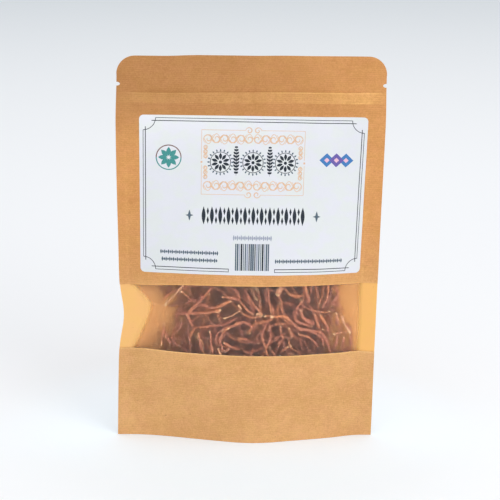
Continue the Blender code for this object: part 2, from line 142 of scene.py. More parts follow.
@dataclass(frozen=True)
class Ripples:
    """Smooth seeded unevenness: a sum of waves in all directions.

    Args:
        seed: chooses the waves.
        count: how many waves are summed.
        shortest, longest: range of their lengths, in metres.
        height: about the greatest height that they reach together, in metres.
        peak: how many typical heights of the sum count as its greatest one.
    """

    seed: int
    count: int
    shortest: float
    longest: float
    height: float
    peak: float = 1.6

    def at(self, x: Array, z: Array) -> Array:
        """Reads the unevenness.

        Args:
            x, z: the points.

        Returns:
            Its height at each point.
        """
        rng = np.random.default_rng(self.seed)
        total = np.zeros(np.broadcast(x, z).shape)
        for _ in range(self.count):
            angle, phase = rng.uniform(0, 2 * math.pi, 2)
            wave = 2 * math.pi / rng.uniform(self.shortest, self.longest)
            total += np.sin((x * math.cos(angle) + z * math.sin(angle)) * wave + phase)
        return self.height * total / math.sqrt(self.count) / self.peak


@dataclass(frozen=True)
class PouchForm:
    """Outline, bulge and layers of the filled pouch, as smooth functions of x and z.

    Depths are distances from the plane of the side seams, positive outwards on either wall. Each
    dent has a depth, a height and a reach, and each top wave a depth, a number and a phase.
    """

    height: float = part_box("back_panel")[1].z
    top_half_width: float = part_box("back_panel")[1].x
    base_half_width: float = 0.0745
    seal_width: float = 0.009
    left_seal_width: float = 0.0052
    corner_radius: float = 0.0101
    corner_from: float = 0.212
    corner_sags: tuple[Slope, ...] = (Slope(0.000585, -0.050, -0.028), Slope(0.000315, 0, 0.02))
    notch_height: float = 0.2073
    notch_depth: float = 0.0019
    notch_half_opening: float = 0.0011
    notch_step: float = 0.0006
    belly_depth: float = 0.0150
    base_depth: float = 0.0143
    belly_full_below: float = 0.060
    belly_ends_at: float = 0.192
    belly_lean: float = 0.08
    dome_from: float = 0.050
    pinch_height: float = 0.0802
    pinch_above: float = 0.0128
    pinch_below: float = 0.0320
    pinch_reach: float = 0.0093
    left_dents: tuple[Point3, ...] = ((0.0026, 0.0735, 0.0138), (0.0015, 0.085, 0.060))
    right_flare: Slope = Slope(0.00030, 0.02, 0.10)
    shoulder: Slope = Slope(0.0008, 0.185, 0.214)
    window_bottom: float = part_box("front_panel_lower")[1].z
    window_top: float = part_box("front_panel_upper")[0].z
    film_lap: float = 0.0030
    upper_arch: float = 0.0011
    upper_arch_middle: float = 0.005
    upper_arch_reach: float = 0.062
    upper_left_drop: Slope = Slope(0.0010, -0.064, -0.030)
    lower_rise: float = 0.00115
    lower_tilt: float = 0.0085
    lower_left_drop: Slope = Slope(0.0009, -0.076, -0.056)
    lower_right_drops: tuple[Slope, ...] = (Slope(0.0008, 0.035, 0.065), Slope(0.0010, 0.060, 0.074))
    drift_reach: float = 0.03
    zip_height: float = 0.1980
    zip_below: float = 0.0050
    zip_above: float = 0.0056
    zip_swell_depth: float = 0.00090
    zip_rib_depth: float = 0.00035
    zip_fade: float = 0.0012
    zip_foot_fade: float = 1.5
    zip_end_share: float = 0.14
    zip_sag: Slope = Slope(0.0010, -0.06, 0.03)
    weld: float = 0.00003
    weld_bulge: Point2 = (0.0001, 0.0021)
    seam_bulge: float = 0.002
    layer: float = 0.00018
    layer_ends: Point2 = (0.100, 0.112)
    film_lift: float = 0.00012
    gusset_top: float = 0.038
    gusset_fade: float = 0.006
    cockle: Ripples = Ripples(5, 14, 0.018, 0.045, 0.00022)
    buckle: Ripples = Ripples(8, 10, 0.020, 0.060, 0.00035)
    crumple: Ripples = Ripples(9, 12, 0.006, 0.013, 0.00003)
    back_shift: Point2 = (0.31, 0.17)
    standing_from: float = 0.012
    buckle_bulge: float = 0.004
    buckle_from: float = 0.03
    top_waves: tuple[Point3, ...] = ((0.0006, 2.2, 0.9), (-0.00042, 4.6, 0.3))
    top_waves_from: float = 0.204
    foot_curl: Slope = Slope(0.0035, 0.018, 0.052)
    foot_uncurl: Slope = Slope(0.0019, 0.052, 0.070)
    foot_dent_depth: float = 0.0008
    foot_dent_x: float = -0.017
    foot_dent_width: float = 0.014
    foot_height: float = 0.045

    def half_width(self, z: Array) -> Array:
        """Half the distance between the two side edges."""
        return mix(self.base_half_width, self.top_half_width, z / self.height)

    def pinch(self, z: Array) -> Array:
        """1 where the left side is pressed flat furthest in, falling in straight lines to 0."""
        rise = z - self.pinch_height
        return np.maximum(0, 1 - np.where(rise > 0, rise / self.pinch_above, -rise / self.pinch_below))

    def dent(self, z: Array) -> Array:
        """How far the left edge is drawn in: a narrow dent in a long shallow bow."""
        return sum(depth * hump(z, height, reach) for depth, height, reach in self.left_dents)

    def notch(self, side: int, z: Array) -> Array:
        """Depth of a side's round tear notch at this height."""
        t = (z - self.notch_height - self.notch_step * (side > 0)) / self.notch_half_opening
        return self.notch_depth * np.sqrt(np.maximum(0, 1 - t * t))

    def crease_x(self, side: int, z: Array) -> Array:
        """Inner line of a side seal, where the wall starts to bulge."""
        x = side * (self.half_width(z) - (self.left_seal_width if side < 0 else self.seal_width))
        return x + (self.dent(z) + self.pinch_reach * self.pinch(z) if side < 0 else self.right_flare.left(z))

    def edge_x(self, side: int, z: Array) -> Array:
        """Outer edge of a side seal."""
        x = side * (self.half_width(z) - self.notch(side, z) - self.shoulder.done(z))
        return x + (self.dent(z) if side < 0 else self.right_flare.left(z))

    def across(self, x: Array, z: Array) -> Array:
        """-1 at the left crease and 1 at the right one."""
        left, right = self.crease_x(-1, z), self.crease_x(1, z)
        return 2 * (x - left) / (right - left) - 1

    def column_x(self, column: Array, z: Array) -> Array:
        """Places the columns of a wall.

        Args:
            column: column numbers, up to 1 between the creases and 1 to 2 across a side seal.
            z: heights.

        Returns:
            The x of each.
        """
        inner = mix(self.crease_x(-1, z), self.crease_x(1, z), (column + 1) / 2)
        seal = np.abs(column) - 1
        left = mix(self.crease_x(-1, z), self.edge_x(-1, z), seal)
        right = mix(self.crease_x(1, z), self.edge_x(1, z), seal)
        return np.where(seal <= 0, inner, np.where(column < 0, left, right))

    def bulge(self, x: Array, z: Array) -> Array:
        """Bulge of the filled body: a dome, which turns into a bell with flat corners at the base.

        Args:
            x, z: the points.

        Returns:
            Its depth at each point.
        """
        full = mix(self.base_depth, self.belly_depth, smoothstep(0, self.dome_from, z))
        belly = full * fade(self.belly_full_below, self.belly_ends_at, z)
        s = np.clip(self.across(x, z), -1, 1)
        leaned = s - self.belly_lean * (1 - s * s)
        dome = 1 - leaned * leaned
        bell = (1 + np.cos(math.pi * leaned)) / 2
        return belly * mix(bell, dome, smoothstep(0, self.dome_from, z))

    def zip_line(self, x: Array) -> Array:
        """Height of the zip's rib, a little lower on the left."""
        return self.zip_height - self.zip_sag.left(x)

    def zip_swell(self, x: Array, z: Array) -> Array:
        """How far the zip between the walls pushes each of them out.

        Args:
            x, z: the points.

        Returns:
            The added depth at each point.
        """
        rise = z - self.zip_line(x)
        soft = self.zip_foot_fade * self.zip_fade
        band = smoothstep(-self.zip_below - soft, soft - self.zip_below, rise)
        band = band - smoothstep(self.zip_above, self.zip_above + self.zip_fade / 2, rise)
        ends = smoothstep(0, self.zip_end_share, 1 - np.abs(self.across(x, z)))
        return ends * (self.zip_swell_depth * band + self.zip_rib_depth * hump(rise, 0, self.zip_fade))

    def filled(self, x: Array, z: Array) -> Array:
        """1 where the walls are apart and 0 where they lie on each other."""
        return smoothstep(0, self.seam_bulge, self.bulge(x, z))

    def relief(self, x: Array, z: Array) -> Array:
        """Slack unevenness of a wall, next to nothing where it lies on the other one and at the floor."""
        standing = smoothstep(0, self.standing_from, z)
        return self.filled(x, z) * standing * self.cockle.at(x, z) + standing * self.crumple.at(x, z)

    def sway(self, x: Array, z: Array) -> Array:
        """How far both walls together stand back: the top band waves, the right foot curls forward.

        Args:
            x, z: the points.

        Returns:
            The shift along Y at each point.
        """
        u = x / self.top_half_width
        wave = sum(depth * np.sin(turns * u + phase) for depth, turns, phase in self.top_waves)
        curl = self.foot_curl.done(x) - self.foot_uncurl.done(x)
        curl = curl - self.foot_dent_depth * hump(x, self.foot_dent_x, self.foot_dent_width)
        flat = fade(0, self.buckle_bulge, self.bulge(x, z))
        buckled = self.buckle.at(x, z) * flat * smoothstep(0, self.buckle_from, z)
        waved = wave * smoothstep(self.top_waves_from, self.height, z)
        return buckled + waved - curl * fade(0, self.foot_height, z)

    def film(self, x: Array, z: Array) -> Array:
        """Depth of the film's inner face."""
        lift = self.film_lift * self.filled(x, z)
        return self.weld + lift + self.bulge(x, z) + self.relief(x, z)

    def front(self, x: Array, z: Array) -> Array:
        """Depth of the front paper's inner face: film or gusset lies under it low down."""
        return self.film(x, z) + self.layer * fade(*self.layer_ends, z) + self.zip_swell(x, z)

    def back(self, x: Array, z: Array) -> Array:
        """Depth of the back paper's inner face: only the gusset lies under it.

        Args:
            x, z: the points.

        Returns:
            The depth at each point.
        """
        layered = self.layer * fade(self.gusset_top, self.gusset_top + self.gusset_fade, z)
        slack = self.cockle.at(x + self.back_shift[0], z + self.back_shift[1]) * self.filled(x, z)
        return self.weld + layered + self.bulge(x, z) + slack + self.zip_swell(x, z)

    def window_drift(self, x: Array, z: Array) -> Array:
        """How far the front papers' level lines run off near the window's two edges.

        Args:
            x, z: the points, as if the edges were level.

        Returns:
            How much higher each point lies.
        """
        arch = 1 - ((x - self.upper_arch_middle) / self.upper_arch_reach) ** 2
        upper = self.upper_arch * arch - self.upper_left_drop.left(x)
        lower = self.lower_rise - self.lower_tilt * x - self.lower_left_drop.left(x)
        lower = lower - sum(drop.done(x) for drop in self.lower_right_drops)
        near_top = fade(0, self.drift_reach, z - self.window_top)
        near_bottom = fade(0, self.drift_reach, self.window_bottom - z)
        return np.where(z > (self.window_top + self.window_bottom) / 2, upper * near_top, lower * near_bottom)

    def corner_drop(self, x: Array, half: float, radius: float) -> Array:
        """How far a rounded corner has fallen below the straight edge at x."""
        past = np.clip(np.abs(x) - (half - radius), 0, radius)
        return radius - np.sqrt(np.maximum(0, radius * radius - past * past))

    def wall_points(
        self, columns: Array, rows: Array, depth: Depth, thickness: float, side: int, drift: bool
    ) -> tuple[Array, Array, Array]:
        """Places the two faces of a wall, and says where it is sealed.

        Args:
            columns: column numbers from -2 to 2, see column_x.
            rows: heights.
            depth: function that gives the inner face's depth.
            thickness: of the sheet.
            side: -1 for the front wall and 1 for the back one.
            drift: True for a paper with an uneven window edge.

        Returns:
            The outer and the inner face as grids of points, and a grid of 1 in the seams and 0 elsewhere.
        """
        column, row = np.meshgrid(columns, rows)
        x = self.column_x(column, row)
        if drift:
            row = row + self.window_drift(x, row)
        share = np.clip((row - self.corner_from) / (self.height - self.corner_from), 0, 1)
        sag = sum(slope.left(x) for slope in self.corner_sags)
        straight = self.top_half_width - self.shoulder.amount
        z = row - share * (self.corner_drop(x, straight, self.corner_radius) + sag)
        inner = depth(x, row)
        faces = [np.stack([x, side * (inner + extra) + self.sway(x, z), z], -1) for extra in (thickness, 0)]
        return *faces, fade(*self.weld_bulge, self.bulge(x, row))


# Mesh helpers


def new_object(name: str, data: bpy.types.ID) -> Object:
    """Makes an object and puts it into the scene.

    Args:
        name: of the object.
        data: what it shows.

    Returns:
        The object.
    """
    made = bpy.data.objects.new(name, data)
    bpy.context.scene.collection.objects.link(made)
    return made


def add_numbers(mesh: bpy.types.Mesh, name: str, numbers: Sequence[float]) -> None:
    """Keeps a number for each point of a mesh as an attribute."""
    mesh.attributes.new(name, "FLOAT", "POINT").data.foreach_set("value", numbers)


class Faces(Enum):
    """Material slots of a shell, in order."""

    OUTER = 0
    INNER = 1
    EDGE = 2


def shell(name: str, outer: Array, inner: Array, flip: bool = False, **masks: Array) -> Object:
    """Closes a thin shell between two grids of points.

    Args:
        name: of the new object.
        outer: the face that looks out, as rows by columns by 3.
        inner: the face behind it, the same size.
        flip: True where columns and rows turn the other way round, seen from outside.
        masks: numbers for each point of a face, kept as attributes of these names for the finish.

    Returns:
        An object whose material slots follow Faces.
    """
    rows, columns = outer.shape[:2]
    count = rows * columns
    number = np.arange(count).reshape(rows, columns)
    a, b, c, d = number[:-1, :-1], number[:-1, 1:], number[1:, 1:], number[1:, :-1]
    quads = np.stack([a, b, c, d], -1).reshape(-1, 4)
    border = np.concatenate([number[0, :-1], number[:-1, -1], number[-1, :0:-1], number[:0:-1, 0]])
    after = np.roll(border, -1)
    rim = np.stack([border, border + count, after + count, after], -1)
    faces = np.concatenate([quads, quads[:, ::-1] + count, rim])
    if flip:
        faces = faces[:, ::-1]
    points = np.concatenate([outer.reshape(-1, 3), inner.reshape(-1, 3)])
    mesh = bpy.data.meshes.new(name)
    mesh.from_pydata(points.tolist(), [], faces.tolist())
    slots = np.repeat([f.value for f in Faces], [len(quads), len(quads), len(rim)])
    mesh.polygons.foreach_set("material_index", slots.astype(np.int32))
    for key, mask in masks.items():
        add_numbers(mesh, key, np.tile(mask.ravel(), 2).astype(np.float32))
    mesh.shade_smooth()
    mesh.set_sharp_from_angle(angle=math.radians(50))
    return new_object(name, mesh)


def dress(piece: Object, slot: str, *finishes: Material) -> Object:
    """Gives a piece its materials if it has none yet and lets it ride on the pouch.

    Args:
        piece: what is dressed.
        slot: not used.
        finishes: the materials, in the order of the mesh's slots.

    Returns:
        The same piece.
    """
    if not piece.data.materials:
        for finish in finishes:
            piece.data.materials.append(finish)
    if not piece.get("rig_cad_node"):
        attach(piece, BODY)
    return piece


def join_meshes(name: str, pieces: Sequence[Object]) -> Object:
    """Joins the meshes of several objects and removes the old objects.

    Args:
        name: of the new object.
        pieces: the old ones.

    Returns:
        The new object.
    """
    joined = bmesh.new()
    for piece in pieces:
        joined.from_mesh(piece.data)
        bpy.data.objects.remove(piece)
    mesh = bpy.data.meshes.new(name)
    joined.to_mesh(mesh)
    joined.free()
    return new_object(name, mesh)


# Finishes


class Sketch:
    """Adds nodes to a tree and wires each one as it is added."""

    def __init__(self, tree: bpy.types.NodeTree) -> None:
        """Starts on a tree that may hold nodes already."""
        self.tree = tree

    def add(self, kind: str, inputs: dict | None = None, **settings: object) -> bpy.types.Node:
        """Adds one node.

        Args:
            kind: the node's type name.
            inputs: see feed.
            settings: the node's own properties.

        Returns:
            The new node.
        """
        node = self.tree.nodes.new(kind)
        for key, value in settings.items():
            setattr(node, key, value)
        self.feed(node, inputs or {})
        return node

    def feed(self, node: bpy.types.Node, inputs: dict) -> None:
        """Gives a node its inputs.

        Args:
            node: the node.
            inputs: input name or number, to a value or a socket that feeds it.
        """
        for key, value in inputs.items():
            if isinstance(value, Socket):
                self.tree.links.new(value, node.inputs[key])
            else:
                node.inputs[key].default_value = value

    def math(self, operation: str, a: Value, b: Value = 0.0) -> Socket:
        """One Math node's result."""
        return self.add("ShaderNodeMath", {0: a, 1: b}, operation=operation).outputs[0]

    def plus(self, *values: Value) -> Socket:
        """The sum of two values or more."""
        return reduce(lambda a, b: self.math("ADD", a, b), values)

    def times(self, a: Value, b: Value) -> Socket:
        """The product of two values."""
        return self.math("MULTIPLY", a, b)

    def vector(self, operation: str, inputs: dict) -> bpy.types.Node:
        """One Vector Math node."""
        return self.add("ShaderNodeVectorMath", inputs, operation=operation)

    def remap(self, value: Value, low: float, high: float, to_low: float = 0, to_high: float = 1) -> Socket:
        """Maps low..high to to_low..to_high with soft ends."""
        inputs = {"Value": value, "From Min": low, "From Max": high, "To Min": to_low, "To Max": to_high}
        return self.add("ShaderNodeMapRange", inputs, interpolation_type="SMOOTHSTEP").outputs[0]

    def blend(self, share: Value, a: Value, b: Value, **settings: object) -> Socket:
        """Mixes two colours.

        Args:
            share: of the second one.
            a, b: the two colours, as three numbers or a socket.
            settings: the Mix node's own properties.

        Returns:
            The mixed colour.
        """
        a, b = ((*c, 1) if isinstance(c, tuple) else c for c in (a, b))
        return self.add("ShaderNodeMix", {0: share, 6: a, 7: b}, data_type="RGBA", **settings).outputs[2]

    def stretched(self, coordinates: Value, scale: Sequence[float]) -> Socket:
        """Coordinates times a scale for each axis."""
        return self.vector("MULTIPLY", {0: coordinates, 1: scale}).outputs[0]

    def noise(self, coordinates: Value, scale: Point3, detail: float = 2.0, rough: float = 0.5) -> Socket:
        """Noise of 0 to 1.

        Args:
            coordinates: where it is read.
            scale: how many waves or so it has in each metre along each axis.
            detail, rough: how much finer noise is added, and how strongly.

        Returns:
            The noise.
        """
        at = self.stretched(coordinates, scale)
        inputs = {"Vector": at, "Scale": 1.0, "Detail": detail, "Roughness": rough}
        return self.add("ShaderNodeTexNoise", inputs).outputs[0]

    def place(self) -> Socket:
        """The piece's own coordinates."""
        return self.add("ShaderNodeTexCoord").outputs["Object"]

    def attribute(self, name: str) -> Socket:
        """One of the piece's own attributes, in a material."""
        return self.add("ShaderNodeAttribute", attribute_name=name).outputs["Fac"]

    def separated(self, vector: Value) -> Sequence[Socket]:
        """The three parts of a vector."""
        return self.add("ShaderNodeSeparateXYZ", {0: vector}).outputs


def new_material(name: str) -> tuple[Material, Sketch, bpy.types.Node]:
    """Starts a material.

    Args:
        name: of the material.

    Returns:
        The material, the sketch of its tree, and its shader.
    """
    made = bpy.data.materials.new(name)
    made.use_nodes = True
    return made, Sketch(made.node_tree), made.node_tree.nodes["Principled BSDF"]


def paper_fibre_group() -> bpy.types.NodeTree:
    """Group for kraft and label paper: clouds, blots, faint ribs, fine grain and dark flecks.

    Returns:
        The group, with Coordinates and Rib Strength in, and Tone, Fleck and Height out.
    """
    tree = bpy.data.node_groups.new("paper_fibres", "ShaderNodeTree")
    face = tree.interface
    face.new_socket("Coordinates", in_out="INPUT", socket_type="NodeSocketVector")
    face.new_socket("Rib Strength", in_out="INPUT", socket_type="NodeSocketFloat")
    for name in ("Tone", "Fleck", "Height"):
        face.new_socket(name, in_out="OUTPUT", socket_type="NodeSocketFloat")
    s = Sketch(tree)
    at, rib_strength, *_ = s.add("NodeGroupInput").outputs
    clouds = s.noise(at, (38, 38, 55), 3)
    blots = s.noise(at, (210, 210, 210), 2, 0.6)
    streaks = s.noise(at, (260, 260, 900), 3, 0.6)
    grain = s.noise(at, (1150, 1150, 1150), 3, 0.7)
    bent = s.plus(s.times(clouds, 0.0012), s.separated(at)[2])
    ribs = s.math("SINE", s.times(bent, 2 * math.pi / 0.00115))
    ribs = s.times(s.times(ribs, rib_strength), s.remap(streaks, 0.35, 0.7))
    tone = s.plus(s.times(clouds, 0.5), s.times(blots, 0.35), s.times(streaks, 0.25), s.times(grain, 1.0))
    tone = s.plus(s.times(s.plus(tone, 0.2), 0.39), ribs)
    flecks = s.noise(at, (420, 420, 1500), 1)
    other = s.noise(at, (1300, 1300, 380), 1)
    fleck = s.math("MAXIMUM", s.remap(flecks, 0.73, 0.80), s.remap(other, 0.75, 0.82))
    height = s.plus(tone, s.times(grain, 0.3))
    s.add("NodeGroupOutput", {"Tone": tone, "Fleck": fleck, "Height": height})
    return tree


@dataclass(frozen=True)
class PaperFinish:
    """Fibrous paper.

    Args:
        name: of the material.
        pale, dark: the two ends of its mottled colour.
        fleck: colour of its stray fibres.
        fleck_share: how strongly they show.
        ribs: strength of the faint level ribs.
        roughness: of its surface.
        grain_depth: height of the fibres, in metres.
        high_shade: painted shade, darker from the belly's middle upwards.
        top_shade: painted shade further at the top, mostly on the left; above 1, painted light.
        side_shades: painted light and shade on the left and on the right.
        sealed: colours where it is welded to another sheet on the left and on the right,
            paler for the weld and lighter still as painted light from behind, if it changes there.
        rubbed: colour of the painted highlights on the zip, the window's edges and the creases, if it changes
            there.
        dusty: colour of the painted shade behind the filling, if it changes there.
            high_rise, top_rise, top_side: heights, and for the top X too, between which this painted light
                and shade comes up.
        side_range, sealed_range: ranges of X over which the left colours turn into the right ones.
    """

    name: str
    pale: Colour
    dark: Colour
    fleck: Colour
    fleck_share: float = 0.5
    ribs: float = 0.05
    roughness: float = 0.75
    grain_depth: float = 0.00004
    high_shade: Colour = WHITE
    top_shade: Colour = WHITE
    side_shades: tuple[Colour, Colour] = (WHITE, WHITE)
    sealed: tuple[Colour, Colour] | None = None
    rubbed: Colour | None = None
    dusty: Colour | None = None
    high_rise: Point2 = (0.050, 0.140)
    top_rise: Point2 = (0.160, 0.205)
    top_side: Point2 = (0.115, -0.050)
    side_range: Point2 = (-0.05, 0.05)
    sealed_range: Point2 = (-0.06, 0.06)

    def build(self, fibres: bpy.types.NodeTree) -> Material:
        """Makes the material.

        Args:
            fibres: the group from paper_fibre_group.

        Returns:
            The material.
        """
        made, s, shader = new_material(self.name)
        at = s.place()
        group = s.add("ShaderNodeGroup", node_tree=fibres)
        s.feed(group, {"Coordinates": at, "Rib Strength": self.ribs})
        tone, fleck, height = group.outputs
        colour = s.blend(s.remap(tone, 0.37, 0.63), self.dark, self.pale)
        x, _, z = s.separated(at)
        # welded strips: paler for the weld, and lighter still as painted light that comes through from behind
        if self.sealed:
            sealed = s.blend(s.remap(x, *self.sealed_range), *self.sealed)
            colour = s.blend(s.remap(s.attribute("weld"), 0.55, 1.0, 0, 0.85), colour, sealed)
        colour = s.blend(s.times(fleck, self.fleck_share), colour, self.fleck)
        # painted highlights on the zip, the window's edges and the creases
        if self.rubbed:
            patchy = s.remap(tone, 0.35, 0.6, 0.35, 0.85)
            colour = s.blend(s.times(s.attribute("rubbed"), patchy), colour, self.rubbed)
        # painted shade behind the filling
        if self.dusty:
            colour = s.blend(s.times(s.attribute("dusty"), 0.85), colour, self.dusty)
        # painted light and shade: darker upwards and at the top left, lighter at the label's top, lighter or
        # darker by side; the patch tint is random tone
        top = s.times(s.remap(z, *self.top_rise), s.remap(x, *self.top_side))
        patch = s.remap(s.noise(at, (110, 110, 150), 2), 0.38, 0.62)
        for tint in (
            s.blend(s.remap(z, *self.high_rise), WHITE, self.high_shade),
            s.blend(top, WHITE, self.top_shade),
            s.blend(s.remap(x, *self.side_range), *self.side_shades),
            s.blend(patch, (1.0, 0.985, 1.0), (0.99, 1.0, 0.95)),
        ):
            colour = s.blend(1.0, colour, tint, blend_type="MULTIPLY")
        rough = s.remap(tone, 0.2, 0.8, self.roughness + 0.05, self.roughness - 0.07)
        bump = s.add("ShaderNodeBump", {"Height": height, "Distance": self.grain_depth}).outputs[0]
        s.feed(shader, {"Base Color": colour, "Roughness": rough, "Normal": bump, "Specular IOR Level": 0.35})
        return made


@dataclass(frozen=True)
class FilmFinish:
    """Frosted film: light is scattered on its way through, but not where it is welded to paper.

    Args:
        name: of the material.
        colour: of the film.
        roughness: how strongly it blurs what lies deeper.
        clear: share of the light that goes through.
        index: of refraction.
        straight: share of the light that isn't scattered at all.
    """

    name: str
    colour: Colour
    roughness: float
    clear: float
    index: float
    straight: float

    def build(self) -> Material:
        """Makes the material, which also lets the studio lights through.

        Returns:
            The material.
        """
        made, s, shader = new_material(self.name)
        tint = (*self.colour, 1)
        s.feed(shader, {"Base Color": tint, "Roughness": self.roughness, "IOR": self.index})
        s.feed(shader, {"Transmission Weight": self.clear})
        lit_through = s.add("ShaderNodeBsdfTransparent", {"Color": tint}).outputs[0]
        shadow_ray = s.add("ShaderNodeLightPath").outputs["Is Shadow Ray"]
        straight = s.math("MAXIMUM", shadow_ray, s.math("MAXIMUM", s.attribute("weld"), self.straight))
        both = s.add("ShaderNodeMixShader", {0: straight, 1: shader.outputs[0], 2: lit_through}).outputs[0]
        s.feed(made.node_tree.nodes["Material Output"], {0: both})
        return made


@dataclass(frozen=True)
class InkFinish:
    """Printed ink with slightly uneven cover.

    Args:
        name: of the material.
        colour: of the ink.
        worn: its colour where it lies thin.
    """

    name: str
    colour: Colour
    worn: Colour

    def build(self) -> Material:
        """Makes the material.

        Returns:
            The material.
        """
        made, s, shader = new_material(self.name)
        thin = s.remap(s.noise(s.place(), (2100, 2100, 2100), 3, 0.6), 0.42, 0.75)
        colour = s.blend(thin, self.colour, self.worn)
        s.feed(shader, {"Base Color": colour, "Roughness": 0.6, "Specular IOR Level": 0.25})
        return made


@dataclass(frozen=True)
class PlasticFinish:
    """Milky moulded plastic with a faint drawn grain.

    Args:
        name: of the material.
        colour: of the plastic.
        shade: how much darker its grain is.
        roughness: of its surface, at its smoothest and at its roughest.
    """

    name: str
    colour: Colour
    shade: float
    roughness: Point2

    def build(self) -> Material:
        """Makes the material.

        Returns:
            The material.
        """
        made, s, shader = new_material(self.name)
        drawn = s.noise(s.place(), (60, 2400, 2400), 2)
        dark = tuple(self.shade * c for c in self.colour)
        colour = s.blend(s.remap(drawn, 0.3, 0.7), dark, self.colour)
        s.feed(shader, {"Base Color": colour, "Roughness": s.remap(drawn, 0.2, 0.8, *self.roughness)})
        return made


@dataclass(frozen=True)
class DriedFinish:
    """Dried fruiting body: shrivelled skin, darker club, pale cut end.

    Args:
        name: of the material.
        stem, club: colours towards the foot and the head.
        ripe: colour of the stem in the warmer parts of the heap.
        dust: colour of the pale dusting on raised folds.
        cut: colour of the cut end.
        shadow: painted shade in the folds and on strands deep behind the film, also the colour dark strands
            lean to.
    """

    name: str
    stem: Colour
    ripe: Colour
    club: Colour
    dust: Colour
    cut: Colour
    shadow: Colour

    def build(self) -> Material:
        """Makes the material, which reads the strand's own attributes.

        Returns:
            The material.
        """
        made, s, shader = new_material(self.name)
        at = s.place()
        along, tone, fold, deep = (s.attribute(name) for name in ("along", "tone", "fold", "deep"))
        blotch = s.noise(at, (260, 260, 260), 3, 0.6)
        fine = s.noise(at, (1500, 1500, 1500), 3, 0.6)
        head = s.remap(s.plus(along, s.times(blotch, 0.5)), 0.35, 1.15)
        warm = s.remap(s.noise(at, (75, 75, 75), 1), 0.38, 0.56)
        colour = s.blend(head, s.blend(warm, self.stem, self.ripe), self.club)
        colour = s.blend(s.remap(tone, 0.14, 0.02, 0, 0.8), colour, self.dust)
        colour = s.blend(s.remap(tone, 0.5, 1.0, 0, 0.75), colour, self.shadow)
        pale = s.times(s.remap(fold, 0.55, 0.95), s.remap(blotch, 0.35, 0.7))
        colour = s.blend(s.times(pale, s.remap(tone, 0.75, 0.2, 0.1, 0.7)), colour, self.dust)
        # painted shade in the folds
        colour = s.blend(s.remap(fold, 0.42, 0.12, 0, 0.7), colour, self.shadow)
        reach = s.math("SUBTRACT", along, s.remap(tone, 0.3, 0.0, 0, 0.12))
        end = s.remap(s.plus(reach, s.times(fine, 0.04)), 0.055, 0.025)
        colour = s.blend(end, colour, self.cut)
        # painted shade: strands lie darker the deeper they are behind the film
        colour = s.blend(s.remap(deep, 2.5, 15.0, 0, 0.25), colour, self.shadow)
        bump = s.add("ShaderNodeBump", {"Height": fine, "Distance": 0.00012, "Strength": 0.7}).outputs[0]
        rough = s.remap(fine, 0.3, 0.7, 0.5, 0.75)
        s.feed(shader, {"Base Color": colour, "Roughness": rough, "Normal": bump})
        return made


@dataclass(frozen=True)
class FloorFinish:
    """Pale matt floor that fades to the backdrop's grey, a painted shade of the studio's fall-off.

    A faint glow round the pouch, which is painted light, and a bluish tint right round it take out the orange
    light that the paper throws on the floor. The ranges are distances from the pouch, and the floor leans
    darker on the left as painted shade.
    """

    name: str = "floor"
    middle: Colour = (0.93, 0.985, 1.0)
    near: Colour = (0.965, 0.968, 0.972)
    far: Colour = (0.66, 0.695, 0.715)
    middle_range: Point2 = (0.03, 0.19)
    far_range: Point2 = (0.4, 3.2)
    lean: float = 0.13
    glow: Colour = (0.052, 0.094, 0.138)
    glow_shift: Point3 = (0.0, -0.03, 0.0)
    glow_stretch: Point3 = (0.85, 1.0, 1.0)
    glow_range: Point2 = (0.045, 0.13)

    def build(self) -> Material:
        """Makes the material.

        Returns:
            The material.
        """
        made, s, shader = new_material(self.name)
        at = s.place()
        away = s.vector("LENGTH", {0: at}).outputs["Value"]
        near = s.blend(s.remap(away, *self.middle_range), self.middle, self.near)
        share = s.math("SUBTRACT", s.remap(away, *self.far_range), s.times(s.separated(at)[0], self.lean))
        moved = s.vector("ADD", {0: at, 1: self.glow_shift}).outputs[0]
        around = s.vector("LENGTH", {0: s.stretched(moved, self.glow_stretch)}).outputs["Value"]
        # painted light: the floor glows round the pouch
        glow = s.blend(s.remap(around, *self.glow_range), self.glow, BLACK)
        s.feed(shader, {"Base Color": s.blend(share, near, self.far), "Roughness": 0.8})
        s.feed(shader, {"Specular IOR Level": 0.1, "Emission Color": glow, "Emission Strength": 1.0})
        return made


